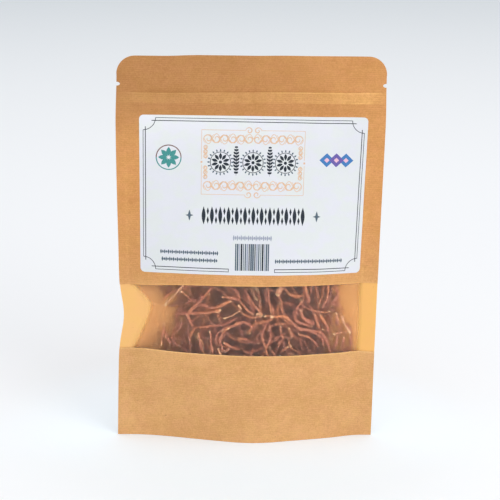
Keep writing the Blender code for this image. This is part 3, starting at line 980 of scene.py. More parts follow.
class Finishes:
    """All materials of the pouch and its filling, built once."""

    def __init__(self) -> None:
        """Builds each material."""
        fibres = paper_fibre_group()
        # painted shade upwards and at the top left, and painted highlights on the zip, the window's edges and
        # the creases
        self.kraft = PaperFinish(
            "kraft", (0.730, 0.400, 0.170), (0.575, 0.295, 0.108), (0.33, 0.15, 0.06), 0.45,
            high_shade=(0.955, 0.830, 0.680), top_shade=(0.74, 0.735, 0.75), rubbed=(1.0, 0.65, 0.27),
        ).build(fibres)
        # painted light and shade: darker on the left and lighter on the right, painted shade behind the
        # filling, and seal colours that are partly painted light from behind
        self.kraft_inside = PaperFinish(
            "kraft_inside", (0.760, 0.380, 0.145), (0.685, 0.330, 0.115), (0.45, 0.22, 0.09), 0.3,
            side_shades=((0.93, 0.90, 0.84), (1.20, 1.20, 1.06)),
            sealed=((0.940, 0.600, 0.256), (0.692, 0.408, 0.154)), dusty=(0.270, 0.102, 0.072),
        ).build(fibres)
        self.paper_edge = PaperFinish(
            "paper_edge", (0.86, 0.60, 0.34), (0.76, 0.50, 0.26), (0.60, 0.38, 0.2), 0.2
        ).build(fibres)
        # painted light: the label is lighter towards its top
        self.label = PaperFinish(
            "label_paper", (0.695, 0.715, 0.755), (0.680, 0.700, 0.740), (0.7, 0.72, 0.75), 0.1,
            ribs=0.0, roughness=0.5, grain_depth=0.00001, top_shade=(1.13, 1.12, 1.10),
        ).build(fibres)
        self.film = FilmFinish("frosted_film", (1.0, 0.985, 0.965), 0.42, 0.985, 1.20, 0.24).build()
        self.plastic = PlasticFinish("zip_plastic", (0.85, 0.84, 0.80), 0.86, (0.32, 0.48)).build()
        self.strand = DriedFinish(
            "dried_skin",
            stem=(0.545, 0.196, 0.114),
            ripe=(0.600, 0.203, 0.080),
            club=(0.410, 0.122, 0.070),
            dust=(0.78, 0.41, 0.22),
            cut=(0.86, 0.53, 0.29),
            shadow=(0.160, 0.053, 0.043),
        ).build()


# Pieces


@dataclass(frozen=True)
class HighlightPaint:
    """Painted highlights on the paper: strengths, places and widths of the pale lines.

    The zip has a painted highlight line on its upper edge (ledge), a lighter band below it, and a line on its
    rib with spots of a strength, place and width. The rims are the window's edges, the creases the side
    seams;
    all of them are painted highlights.
    """

    right: Point2 = (-0.02, 0.065)
    back_share: float = 0.4
    ends: Point2 = (0.064, 0.078)
    ledge_drop: float = 0.0002
    ledge_width: float = 0.00040
    ledge: float = 0.5
    ledge_right: float = 0.9
    band_foot: Point2 = (-0.0014, 0.0010)
    band_head: float = 0.0008
    band_right: float = 0.54
    band_power: float = 1.5
    band_left: Slope = Slope(0.30, -0.05, 0.0)
    rib_width: float = 0.00034
    rib_right: float = 0.8
    spots: tuple[Point3, ...] = ((0.6, -0.018, 0.005), (0.9, 0.061, 0.003))
    lower_rim: Slope = Slope(0.65, 0, 0.0006)
    upper_rim: Slope = Slope(0.4, 0, 0.0005)
    crease: float = 0.12
    crease_width: float = 0.0008
    crease_from: Point2 = (0.04, 0.09)
    crease_bulge: float = 0.004

    def at_zip(self, form: PouchForm, x: Array, z: Array, side: int) -> Array:
        """Painted highlights over the zip: a line on its upper edge, a band below it and a line on its rib.

        Args:
            form: the pouch.
            x, z: the points.
            side: -1 for the front wall and 1 for the back one.

        Returns:
            The greatest of the three at each point.
        """
        rise = z - form.zip_line(x)
        right = smoothstep(*self.right, -side * x) * (1.0 if side < 0 else self.back_share)
        ledge = hump(rise, form.zip_above - self.ledge_drop, self.ledge_width)
        ledge = ledge * (self.ledge + self.ledge_right * right)
        band = smoothstep(*self.band_foot, rise) * fade(form.zip_above - self.band_head, form.zip_above, rise)
        band = band * (self.band_right * right**self.band_power + self.band_left.done(-x))
        spots = sum(strength * hump(x, place, width) for strength, place, width in self.spots)
        rib = hump(rise, 0, self.rib_width) * (self.rib_right * right + (spots if side < 0 else 0))
        return np.max([ledge, band, rib], axis=0) * fade(*self.ends, np.abs(x))

    def at(self, form: PouchForm, points: Array, rows: Array, side: int, low: float, high: float) -> Array:
        """Painted highlights of one wall.

        Args:
            form: the pouch.
            points: of the wall's outer face.
            rows: the heights that its rows started from.
            side: -1 for the front wall and 1 for the back one.
            low, high: the wall's two level edges.

        Returns:
            0 where nothing is painted, up to 1 where the painted highlight is strongest.
        """
        x, z = points[..., 0], points[..., 2]
        # painted highlights: the zip, the window's rims and the seams' creases
        worn = [self.at_zip(form, x, z, side)]
        if high < form.height:
            worn.append(np.broadcast_to(self.lower_rim.left(high - rows), z.shape))
        if low > 0:
            worn.append(np.broadcast_to(self.upper_rim.left(rows - low), z.shape))
        for seam in (-1, 1):
            risen = smoothstep(*self.crease_from, z) * smoothstep(0, self.crease_bulge, form.bulge(0 * x, z))
            worn.append(self.crease * hump(x, form.crease_x(seam, z), self.crease_width) * risen)
        return np.clip(np.max(worn, axis=0), 0, 1)


@dataclass
class Walls:
    """The kraft walls, the film behind the window and the folded bottom.

    A row and a column is added every step, and more at the zip, the notches and the corners. The
    gusset's power is 2 for a round arch, and its inset says how much lower its inner face is.
    """

    form: PouchForm
    finishes: Finishes
    wear: HighlightPaint = HighlightPaint()
    paper: float = 0.00016
    film_thickness: float = 0.00010
    leaf: float = 0.00012
    step: float = 0.0011
    seal_columns: int = 14
    notch_rows: int = 25
    zip_rows: int = 66
    corner_rows: int = 22
    zip_reach: Point2 = (0.0076, 0.0068)
    row_gap: float = 0.00005
    dust_left: Point2 = (-0.047, -0.014)
    dust_right: Point2 = (0.042, 0.054)
    dust_top: Point2 = (0.115, 0.140)
    gusset_height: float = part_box("bottom_gusset")[1].z
    gusset_drop: float = 0.004
    gusset_power: float = 1.7
    gusset_columns: float = 1.6
    gusset_rows: int = 61
    gusset_gap: float = 0.00002
    gusset_inset: float = 1.6

    def columns(self) -> Array:
        """Places the columns over a wall, closer together towards its outer edges.

        Returns:
            Their numbers, see PouchForm.column_x.
        """
        inner = np.linspace(-1, 1, round(2 * self.form.top_half_width / self.step))
        seal = 1 + np.sin(np.linspace(0, math.pi / 2, self.seal_columns + 1)[1:])
        return np.concatenate([-seal[::-1], inner, seal])

    def rows(self, low: float, high: float) -> Array:
        """Places a wall's rows, closer together at the zip, the notches and the top corners.

        Args:
            low, high: the wall's two level edges.

        Returns:
            Their heights.
        """
        form = self.form
        rows = list(np.linspace(low, high, max(2, round((high - low) / self.step))))
        notch, opening = form.notch_height, form.notch_half_opening
        zip_line, below, above = form.zip_height, *self.zip_reach
        fine = (
            (notch - opening, notch + form.notch_step + opening, self.notch_rows),
            (zip_line - below, zip_line + above, self.zip_rows),
            (form.corner_from, form.height, self.corner_rows),
        )
        for start, end, count in fine:
            rows += [z for z in np.linspace(start, end, count) if low < z < high]
        kept = [rows[0]]
        for z in sorted(rows):
            if z - kept[-1] > self.row_gap:
                kept.append(z)
        return np.array(kept)

    def build(self) -> list[Object]:
        """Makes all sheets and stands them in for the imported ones.

        Returns:
            The pieces.
        """
        form, finishes = self.form, self.finishes
        columns = self.columns()
        sheets = (
            ("front_panel_lower", "kraft_lower_front", 0, form.window_bottom, form.front, -1),
            ("front_panel_upper", "kraft_upper_front", form.window_top, form.height, form.front, -1),
            ("back_panel", "kraft_back", 0, form.height, form.back, 1),
        )
        made = []
        for node, name, low, high, depth, side in sheets:
            rows = self.rows(low, high)
            outer, inner, weld = form.wall_points(columns, rows, depth, self.paper, side, side < 0)
            # painted highlights and painted shade behind the filling, kept as attributes for the finish
            rubbed = self.wear.at(form, outer, rows[:, None], side, low, high)
            sheet = shell(name, outer, inner, side > 0, weld=weld, rubbed=rubbed, dusty=self.dusty(inner))
            dress(sheet, "kraft_paper", finishes.kraft, finishes.kraft_inside, finishes.paper_edge)
            made.append(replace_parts(sheet, node))
        rows = self.rows(form.window_bottom - form.film_lap, form.window_top + form.film_lap)
        outer, inner, weld = form.wall_points(columns, rows, form.film, self.film_thickness, -1, False)
        film = dress(shell("frosted_window", outer, inner, weld=weld), "matt_film", *[finishes.film] * 3)
        made.append(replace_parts(film, "window_film"))
        made.append(self.gusset())
        return made

    def dusty(self, points: Array) -> Array:
        """Where painted shade darkens the paper behind the filling.

        Args:
            points: of a wall's inner face.

        Returns:
            1 behind the filling's middle and 0 past its outline.
        """
        x, z = points[..., 0], points[..., 2]
        across = smoothstep(*self.dust_left, x) * fade(*self.dust_right, x)
        return across * fade(*self.dust_top, z)

    def gusset(self) -> Object:
        """Makes the folded bottom: a leaf rises from each wall's foot and they meet in an arch.

        Returns:
            The piece.
        """
        form, finishes = self.form, self.finishes
        columns = self.columns()
        columns = columns[np.abs(columns) <= self.gusset_columns]
        column, angle = np.meshgrid(columns, np.linspace(0, math.pi, self.gusset_rows))
        x = form.column_x(column, np.zeros_like(column))
        widest = form.base_depth + form.layer
        power = 2 / self.gusset_power
        faces = []
        for inset in (self.gusset_gap, self.gusset_gap + self.leaf):
            depth = form.front(x, np.zeros_like(x)) - inset
            height = self.gusset_height - self.gusset_drop * (depth / widest) ** 2 - self.gusset_inset * inset
            y = -np.sign(np.cos(angle)) * depth * np.abs(np.cos(angle)) ** power
            z = height * np.abs(np.sin(angle)) ** power
            z[[0, -1]] = 0
            faces.append(np.stack([x, y + form.sway(x, z), z], -1))
        made = shell("kraft_gusset", *faces)
        dress(made, "kraft_paper", finishes.kraft_inside, finishes.kraft, finishes.paper_edge)
        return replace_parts(made, "bottom_gusset")


# The least width of a stroke, in millimetres.
NARROWEST = 0.02


class Ink(Enum):
    """Inks of the label, each with its colour and its thin colour.

    They draw plain motifs in millimetres, as strokes. The width of a motif is its greatest one.
    """

    SLATE = ((0.014, 0.020, 0.030), (0.035, 0.048, 0.066))
    PEACH = ((0.690, 0.440, 0.280), (0.730, 0.540, 0.400))
    GREEN = ((0.045, 0.250, 0.240), (0.090, 0.330, 0.310))
    RUST = ((0.180, 0.100, 0.090), (0.280, 0.180, 0.160))
    BLUE = ((0.045, 0.180, 0.440), (0.090, 0.240, 0.500))
    VIOLET = ((0.130, 0.095, 0.350), (0.190, 0.150, 0.420))
    GREY = ((0.070, 0.105, 0.140), (0.130, 0.175, 0.220))
    PALE = ((0.300, 0.330, 0.420), (0.400, 0.430, 0.500))
    PINK = ((0.760, 0.440, 0.560), (0.800, 0.560, 0.640))

    @property
    def finish(self) -> InkFinish:
        """The ink's material."""
        return InkFinish(f"ink_{self.name.lower()}", *self.value)

    def line(self, points: Iterable[Point2], width: float) -> Stroke:
        """A line of even width."""
        path = np.array(list(points), float)
        return Stroke(self, path, np.full(len(path), width))

    def shape(self, start: Point2, end: Point2, width: float, lozenge: bool = False) -> Stroke:
        """A leaf or a lozenge, widest in the middle.

        Args:
            start, end: its two tips.
            width: of its middle.
            lozenge: True for straight sides.

        Returns:
            The stroke.
        """
        t = np.linspace(0, 1, 13)[:, None]
        path = np.array(start) + t * (np.array(end) - np.array(start))
        full = 1 - np.abs(2 * t[:, 0] - 1) if lozenge else np.sin(math.pi * t[:, 0])
        return Stroke(self, path, np.maximum(NARROWEST, width * full))

    def disc(self, centre: Point2, radius: float) -> Stroke:
        """A filled disc, as one stroke whose width follows the circle.

        Args:
            centre, radius: of the disc.

        Returns:
            The stroke.
        """
        angle = np.linspace(0, math.pi, 19)
        path = np.stack([centre[0] - radius * np.cos(angle), np.full(19, centre[1])], -1)
        return Stroke(self, path, np.maximum(NARROWEST, 2 * radius * np.sin(angle)))

    def arc(self, centre: Point2, radius: float, start: float, end: float, width: float) -> Stroke:
        """A circular arc.

        Args:
            centre, radius: of the circle.
            start, end: its angles in degrees.
            width: of the line.

        Returns:
            The stroke.
        """
        count = max(6, round(abs(end - start) * radius / 40) + 2)
        angle = np.radians(np.linspace(start, end, count))
        path = np.array(centre) + radius * np.stack([np.cos(angle), np.sin(angle)], -1)
        return Stroke(self, path, np.full(count, width))

    def curl(self, centre: Point2, radius: float, start: float, turns: float, width: float) -> Stroke:
        """A curl that winds in to its centre.

        Args:
            centre: where it ends.
            radius: from there to its start.
            start: angle of its start in degrees.
            turns: how far it winds, to the left if positive.
            width: of the line.

        Returns:
            The stroke.
        """
        t = np.linspace(0, 1, max(14, round(24 * abs(turns))))
        angle = math.radians(start) + 2 * math.pi * turns * t
        path = np.array(centre) + (radius * (1 - 0.8 * t) * np.stack([np.cos(angle), np.sin(angle)])).T
        return Stroke(self, path, width * (0.4 + 0.6 * np.sin(math.pi * t)))

    def frond(self, stem: Stroke, length: float, width: float, count: int) -> Iterable[Stroke]:
        """A stem and pairs of leaves along it, shorter towards its ends.

        Args:
            stem: the stroke that they stand on.
            length, width: of the largest leaf.
            count: of pairs.

        Yields:
            The strokes.
        """
        yield stem
        last = len(stem.path) - 1
        for i in range(count):
            share = (i + 0.8) / count
            number = share * last
            at = np.array([np.interp(number, range(last + 1), stem.path[:, k]) for k in (0, 1)])
            ahead = stem.path[min(last, math.ceil(number))] - stem.path[max(0, math.ceil(number) - 1)]
            ahead = ahead / np.linalg.norm(ahead)
            reach = length * math.sin(math.pi * (0.14 + 0.74 * share))
            for side in (-1, 1):
                away = 0.72 * ahead + 0.69 * side * np.array([-ahead[1], ahead[0]])
                yield self.shape(at, at + reach * away, width)

    def rosette(
        self, centre: Point2, inner: float, outer: float, petals: int, width: float
    ) -> Iterable[Stroke]:
        """Petals round a centre.

        Args:
            centre: of the rosette.
            inner, outer: distances of their tips from it.
            petals: how many there are.
            width: of each.

        Yields:
            The strokes.
        """
        for i in range(petals):
            angle = 2 * math.pi * i / petals + math.pi / 2
            ray = np.array([math.cos(angle), math.sin(angle)])
            yield self.shape(np.array(centre) + inner * ray, np.array(centre) + outer * ray, width)

    def vine(self, start: Point2, end: Point2, count: int, height: float) -> Iterable[Stroke]:
        """A wavy stem with a curl in each of its bends, and small leaves between them.

        Args:
            start, end: of the line that it waves about.
            count: of bends.
            height: of each bend.

        Yields:
            The strokes.
        """
        begin, pitch = np.array(start, float), (np.array(end, float) - start) / count
        across = np.array([-pitch[1], pitch[0]]) / np.linalg.norm(pitch)
        t = np.linspace(0, count, 12 * count + 1)[:, None]
        yield self.line(begin + t * pitch + height * np.sin(math.pi * t) * across, 0.34)
        lean = math.degrees(math.atan2(pitch[1], pitch[0]))
        for i in range(count):
            turn = 1 - 2 * (i % 2)
            centre = begin + (i + 0.5) * pitch
            yield self.curl(centre, height, lean + 60 * turn, -1.25 * turn, 0.62)
            if i:
                fork = begin + i * pitch
                for side in (-1, 1):
                    tip = fork + 0.9 * height * side * across - 0.35 * side * turn * pitch
                    yield self.shape(fork, tip, 0.75)


@dataclass(frozen=True)
class Stroke:
    """One printed mark: a line on the label whose width may change along it.

    Args:
        ink: what it is printed in.
        path: points in millimetres from the label's middle.
        widths: width at each point, in millimetres.
    """

    ink: Ink
    path: Array
    widths: Array


def placed(strokes: Iterable[Stroke], centre: Point2) -> Iterable[Stroke]:
    """Each mark, and its mirror image left to right.

    Args:
        strokes: the marks, about 0.
        centre: where that comes to lie.

    Yields:
        The strokes.
    """
    for stroke in strokes:
        for side in (1, -1):
            yield Stroke(stroke.ink, stroke.path * (side, 1) + centre, stroke.widths)


@dataclass
class Label:
    """The paper sticker and its plain print.

    The sticker is a little wider at its top (spread), its middle rises towards the foot (arch), and
    each ink and each mark lies a step higher than the one before. The print's sizes are millimetres.
    """

    form: PouchForm
    finishes: Finishes
    left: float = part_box("label")[0].x
    right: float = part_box("label")[1].x
    bottom: float = 0.1000
    top: float = 0.1900
    spread: float = 0.011
    arch: float = 0.00075
    turn: float = math.radians(-0.12)
    corner: float = 0.0025
    columns: int = 120
    rows: int = 86
    stand_off: float = 0.00018
    thickness: float = 0.00009
    ink_gap: float = 0.000004
    ink_thickness: float = 0.000012
    ink_step: float = 0.0000015
    mark_step: float = 0.0000002
    scoop: float = 6.9
    outer_inset: Point2 = (2.0, 1.8)
    inner_inset: Point2 = (3.25, 3.4)
    foot_gap: float = 13.2
    crest_centre: Point2 = (-0.3, 18.6)
    title_level: float = -11.6
    print_turn: float = math.radians(-0.25)

    @property
    def half_width_mm(self) -> float:
        """Half the label's width in millimetres."""
        return (self.right - self.left) / 2 / MM

    @property
    def half_height_mm(self) -> float:
        """Half the label's height in millimetres."""
        return (self.top - self.bottom) / 2 / MM

    def place(self, u: Array, v: Array) -> tuple[Array, Array, Array]:
        """Where a point of the label lies.

        Args:
            u, v: the point, from the label's middle.

        Returns:
            Its x, the y of the label's rear face there, and its z.
        """
        half_w, half_h = self.half_width_mm * MM, self.half_height_mm * MM
        across = u * (1 + self.spread * v / half_h)
        up = v + self.arch * (1 - (u / half_w) ** 2) * (1 - v / half_h) / 2
        x, z = turned(across, up, self.turn)
        x, z = x + (self.left + self.right) / 2, z + (self.bottom + self.top) / 2
        return x, self.form.sway(x, z) - self.form.front(x, z) - self.stand_off, z

    def sheet(self) -> Object:
        """Makes the sticker itself, with small rounded corners.

        Returns:
            The piece.
        """
        half_w, half_h = self.half_width_mm * MM, self.half_height_mm * MM
        edge = 1 - (1 - np.sin(np.linspace(0, math.pi / 2, 9))) * self.corner / half_w
        inner = np.linspace(-edge[0], edge[0], self.columns)[1:-1]
        columns = np.concatenate([-edge[::-1], inner, edge])
        column, row = np.meshgrid(columns, np.linspace(-1, 1, self.rows))
        u = column * half_w
        share = 1 - self.form.corner_drop(u, half_w, self.corner) / half_h
        x, back, z = self.place(u, row * half_h * share)
        faces = [np.stack([x, back - extra, z], -1) for extra in (self.thickness, 0)]
        made = shell("sticker", *faces)
        dress(made, "label_paper", *[self.finishes.label] * 3)
        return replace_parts(made, "label")

    def border(self) -> Iterable[Stroke]:
        """A traditional double line with scooped corners, open at the middle of the foot.

        Yields:
            The strokes.
        """
        ink, gap = Ink.SLATE, self.foot_gap
        w, h = self.half_width_mm - self.outer_inset[0], self.half_height_mm - self.outer_inset[1]
        for right, up, start in ((-1, -1, 0), (-1, 1, 270), (1, -1, 90), (1, 1, 180)):
            yield ink.arc((right * w, up * h), self.scoop, start, start + 90, 0.36)
        for inset, reach, width in ((self.outer_inset, self.scoop, 0.32), (self.inner_inset, 3.4, 0.42)):
            w, h = self.half_width_mm - inset[0], self.half_height_mm - inset[1]
            yield ink.line(((w - reach, h), (reach - w, h)), width)
            for side in (-1, 1):
                yield ink.line(((side * w, h - reach), (side * w, reach - h)), width)
                yield ink.line(((side * (w - reach), -h), (side * gap, -h)), width)
        for side in (-1, 1):
            yield ink.line(((side * gap, -h + 0.2), (side * gap, -h - 1.8)), 0.32)

    def crest(self) -> Iterable[Stroke]:
        """A row of three dark round flowers with leaf sprays between them, in a peach frame full of vines.

        Yields:
            The strokes.
        """
        peach, slate, grey = Ink.PEACH, Ink.SLATE, Ink.GREY
        half = [
            peach.line(((4.6, 18.2), (28.8, 18.2), (28.8, 1.5)), 0.26),
            peach.line(((28.8, -1.5), (28.8, -18.2), (4.6, -18.2)), 0.26),
            peach.curl((2.4, 18.0), 2.1, 0, 1.2, 0.6),
            peach.curl((2.4, -18.0), 2.1, 0, -1.2, 0.6),
            peach.disc((28.8, 0.0), 0.6),
        ]
        for level in (-13.2, 13.2):
            half += peach.vine((0.0, level), (27.4, level), 6, 2.9)
        for outer in (6.4, -6.4):
            half += peach.vine((26.6, 0.3 * outer), (26.6, 1.5 * outer), 3, 1.2)
        t = np.linspace(0, 1, 24)
        level = -7.6 * (1 - t) ** 3 - 9 * (1 - t) ** 2 * t + 9 * (1 - t) * t * t + 8.6 * t**3
        stem = Stroke(slate, np.stack([np.full(24, 9.4), level], -1), 0.1 + 0.4 * np.sin(math.pi * t) ** 1.3)
        half += slate.frond(stem, 2.7, 1.15, 9)
        yield from placed(half, self.crest_centre)
        for shift in (-18.2, 0.0, 18.2):
            hub = (self.crest_centre[0] + shift, self.crest_centre[1])
            yield slate.disc(hub, 0.9)
            yield slate.arc(hub, 5.7, 0, 360, 0.36)
            yield from slate.rosette(hub, 1.5, 5.3, 10, 1.7)
            yield from grey.rosette(hub, 5.9, 7.5, 20, 0.85)

    def title_band(self) -> Iterable[Stroke]:
        """A row of tall dark lenses with pairs of lozenges between them, and a small star at each end.

        Yields:
            The strokes.
        """
        level, pitch, count = self.title_level, 4.68, 13
        for i in range(count):
            x = 0.5 + (i - (count - 1) / 2) * pitch
            yield Ink.SLATE.shape((x, level - 5.2), (x, level + 5.2), 2.2)
            if i < count - 1:
                for side in (-1, 1):
                    across, up = x + pitch / 2, level + side * 2.5
                    yield Ink.SLATE.shape((across, up - 2.2), (across, up + 2.2), 1.4, True)
        star = [
            Ink.GREY.shape((36.1, -3.1), (36.1, 3.1), 1.5),
            Ink.GREY.shape((33.9, 0.0), (38.3, 0.0), 1.2),
        ]
        yield from placed(star, (0.5, level))

    def badges(self) -> Iterable[Stroke]:
        """A green rosette in a ring on the left, and blue and violet lozenges on the right.

        Yields:
            The strokes.
        """
        left, right = (-47.4, 20.9), (46.6, 20.6)
        yield Ink.RUST.arc(left, 6.9, 0, 180, 0.6)
        yield Ink.GREEN.arc(left, 6.9, 180, 360, 0.6)
        yield from Ink.GREEN.rosette(left, 0.7, 5.9, 8, 2.6)
        for shift, ink in ((-5.4, Ink.BLUE), (0.0, Ink.VIOLET), (5.4, Ink.BLUE)):
            x = right[0] + shift
            yield ink.shape((x - 4.2, right[1]), (x + 4.2, right[1]), 8.0, True)
            yield Ink.PINK.shape((x - 1.5, right[1]), (x + 1.5, right[1]), 2.9, True)

    def foot(self) -> Iterable[Stroke]:
        """Rows of small beads and a block of even stripes along the lower edge.

        Yields:
            The strokes.
        """
        for start, end, level, size, ink in (
            (-51.6, -19.6, -32.9, 1.35, Ink.GREY),
            (-50.8, -20.0, -37.1, 1.35, Ink.GREY),
            (13.8, 52.0, -37.0, 1.35, Ink.GREY),
            (-10.4, 10.8, -23.9, 1.7, Ink.PALE),
        ):
            count = round((end - start) / 1.02)
            for i in range(count):
                x = start + (end - start) * i / (count - 1)
                tall = (1.0, 0.7, 0.95, 0.6)[i % 4] * size
                yield ink.shape((x, level - tall), (x, level + tall), 0.95)
        block = []
        for i in range(9):
            x = 0.55 + 1.1 * i
            ink = (Ink.GREY, Ink.SLATE, Ink.PALE, Ink.GREY)[i % 4]
            block.append(ink.line(((x, -27.2), (x, -42.4)), (0.95, 0.6, 0.9, 0.7, 0.45)[i % 5]))
        yield from placed(block, (0.2, 0))

    def strip(self, stroke: Stroke, order: int) -> Object:
        """Lays one stroke on the label as a thin closed film of ink.

        Args:
            stroke: the mark.
            order: its place in the print, so that no two crossing marks are level.

        Returns:
            A loose object, to be joined with the others of its ink.
        """
        run = run_along(stroke.path)
        count = max(2, len(run), math.ceil(run[-1] / 0.9) + 1)
        reach = np.union1d(run, np.linspace(0, run[-1], count)) if len(run) < count else run
        path = np.stack([np.interp(reach, run, stroke.path[:, k]) for k in (0, 1)], -1)
        widths = np.interp(reach, run, stroke.widths)
        tangent = np.gradient(path, axis=0)
        tangent /= np.maximum(1e-9, np.linalg.norm(tangent, axis=1, keepdims=True))
        normal = np.stack([-tangent[:, 1], tangent[:, 0]], -1)
        columns = np.linspace(0.5, -0.5, 2 + math.ceil(widths.max() / 1.1))
        flat = path[:, None] + normal[:, None] * (widths[:, None] * columns)[..., None]
        across, up = turned(flat[..., 0], flat[..., 1], self.print_turn)
        x, back, z = self.place(across * MM, up * MM)
        lift = list(Ink).index(stroke.ink) * self.ink_step + (order % 5) * self.mark_step
        base = back - self.thickness - self.ink_gap - lift
        faces = [np.stack([x, base - extra, z], -1) for extra in (self.ink_thickness, 0)]
        return shell(f"mark_{order}", *faces, flip=True)

    def build(self) -> list[Object]:
        """Makes the sticker and one film for each ink.

        Returns:
            The pieces.
        """
        made = [self.sheet()]
        parts = (self.border(), self.crest(), self.title_band(), self.badges(), self.foot())
        marks: dict[Ink, list[Object]] = {}
        for order, stroke in enumerate(s for part in parts for s in part):
            marks.setdefault(stroke.ink, []).append(self.strip(stroke, order))
        for ink, strips in marks.items():
            film = join_meshes(f"print_{ink.name.lower()}", strips)
            made.append(dress(film, "label_paper", *[ink.finish.build()] * 3))
        return made


def turned(across: Array, up: Array, angle: float) -> tuple[Array, Array]:
    """Points turned to the left about 0 by an angle in radians."""
    cos, sin = math.cos(angle), math.sin(angle)
    return across * cos - up * sin, across * sin + up * cos


def run_along(points: Array) -> Array:
    """Distance of each point from the first one, along the line."""
    return np.concatenate([[0], np.cumsum(np.linalg.norm(np.diff(points, axis=0), axis=1))])


# The filling


@dataclass
class Strand:
    """One dried fruiting body, from its cut foot to its head.

    Args:
        points: its centre line in metres.
        radii: its radius at each point.
        tone: 0 for a light one to 1 for a dark one.
    """

    points: Array
    radii: Array
    tone: float


def strand_from_node(node: Object, tone: float) -> Strand:
    """Reads a packed strand's centre line and radii from the rings of its mesh.

    Args:
        node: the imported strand.
        tone: of the new strand.

    Returns:
        The strand, from the thinner end to the club.
    """
    shape = bmesh.new()
    shape.from_mesh(node.data)
    bmesh.ops.remove_doubles(shape, verts=shape.verts, dist=1e-6)
    shape.faces.ensure_lookup_table()
    ring = end_ring(shape)
    rings, seen = [], set()
    while ring:
        rings.append(ring)
        seen |= ring
        ring = {e.other_vert(v) for v in ring for e in v.link_edges} - seen
    points = np.array([np.mean([v.co[:] for v in r], axis=0) for r in rings])
    radii = np.array([np.mean([(v.co - Vector(p)).length for v in r]) for r, p in zip(rings, points)])
    shape.free()
    third = max(2, len(radii) // 3)
    if radii[:third].mean() > radii[-third:].mean():
        points, radii = points[::-1], radii[::-1]
    return Strand(points, radii, tone)


def end_ring(shape: bmesh.types.BMesh) -> set[bmesh.types.BMVert]:
    """Finds one flat round end: the flat fan of triangles that is most nearly a regular hexagon.

    Args:
        shape: a packed strand, with its faces' table.

    Returns:
        The vertices of that end.
    """
    best, found = math.inf, set()
    for seed in shape.faces:
        fan, front = {seed}, [seed]
        while front:
            face = front.pop()
            near = {f for e in face.edges for f in e.link_faces}
            for other in near - fan:
                if other.normal.angle(seed.normal, math.pi) < math.radians(1):
                    fan.add(other)
                    front.append(other)
        corners = {v for f in fan for v in f.verts}
        if len(fan) != 4 or len(corners) != 6:
            continue
        centre = sum((v.co for v in corners), Vector()) / 6
        reach = [(v.co - centre).length for v in corners]
        unevenness = (max(reach) - min(reach)) / max(reach)
        if unevenness < best:
            best, found = unevenness, corners
    return found


class Footprint(NamedTuple):
    """The heap's cells round each point of a strand.

    Args:
        i, j, away: the cells' numbers across and up, and their distances from the point.
        reach, near: how far from it the strand covers them, and True for those that it covers.
    """

    i: Array
    j: Array
    away: Array
    reach: Array
    near: Array

    @property
    def covered(self) -> tuple[Array, Array]:
        """Where the covered cells are in the heap's grids."""
        return self.j[self.near], self.i[self.near]

    @property
    def dome(self) -> Array:
        """How far the strand stands out from its centre line over each cell."""
        return np.sqrt(np.maximum(0, self.reach**2 - self.away**2))


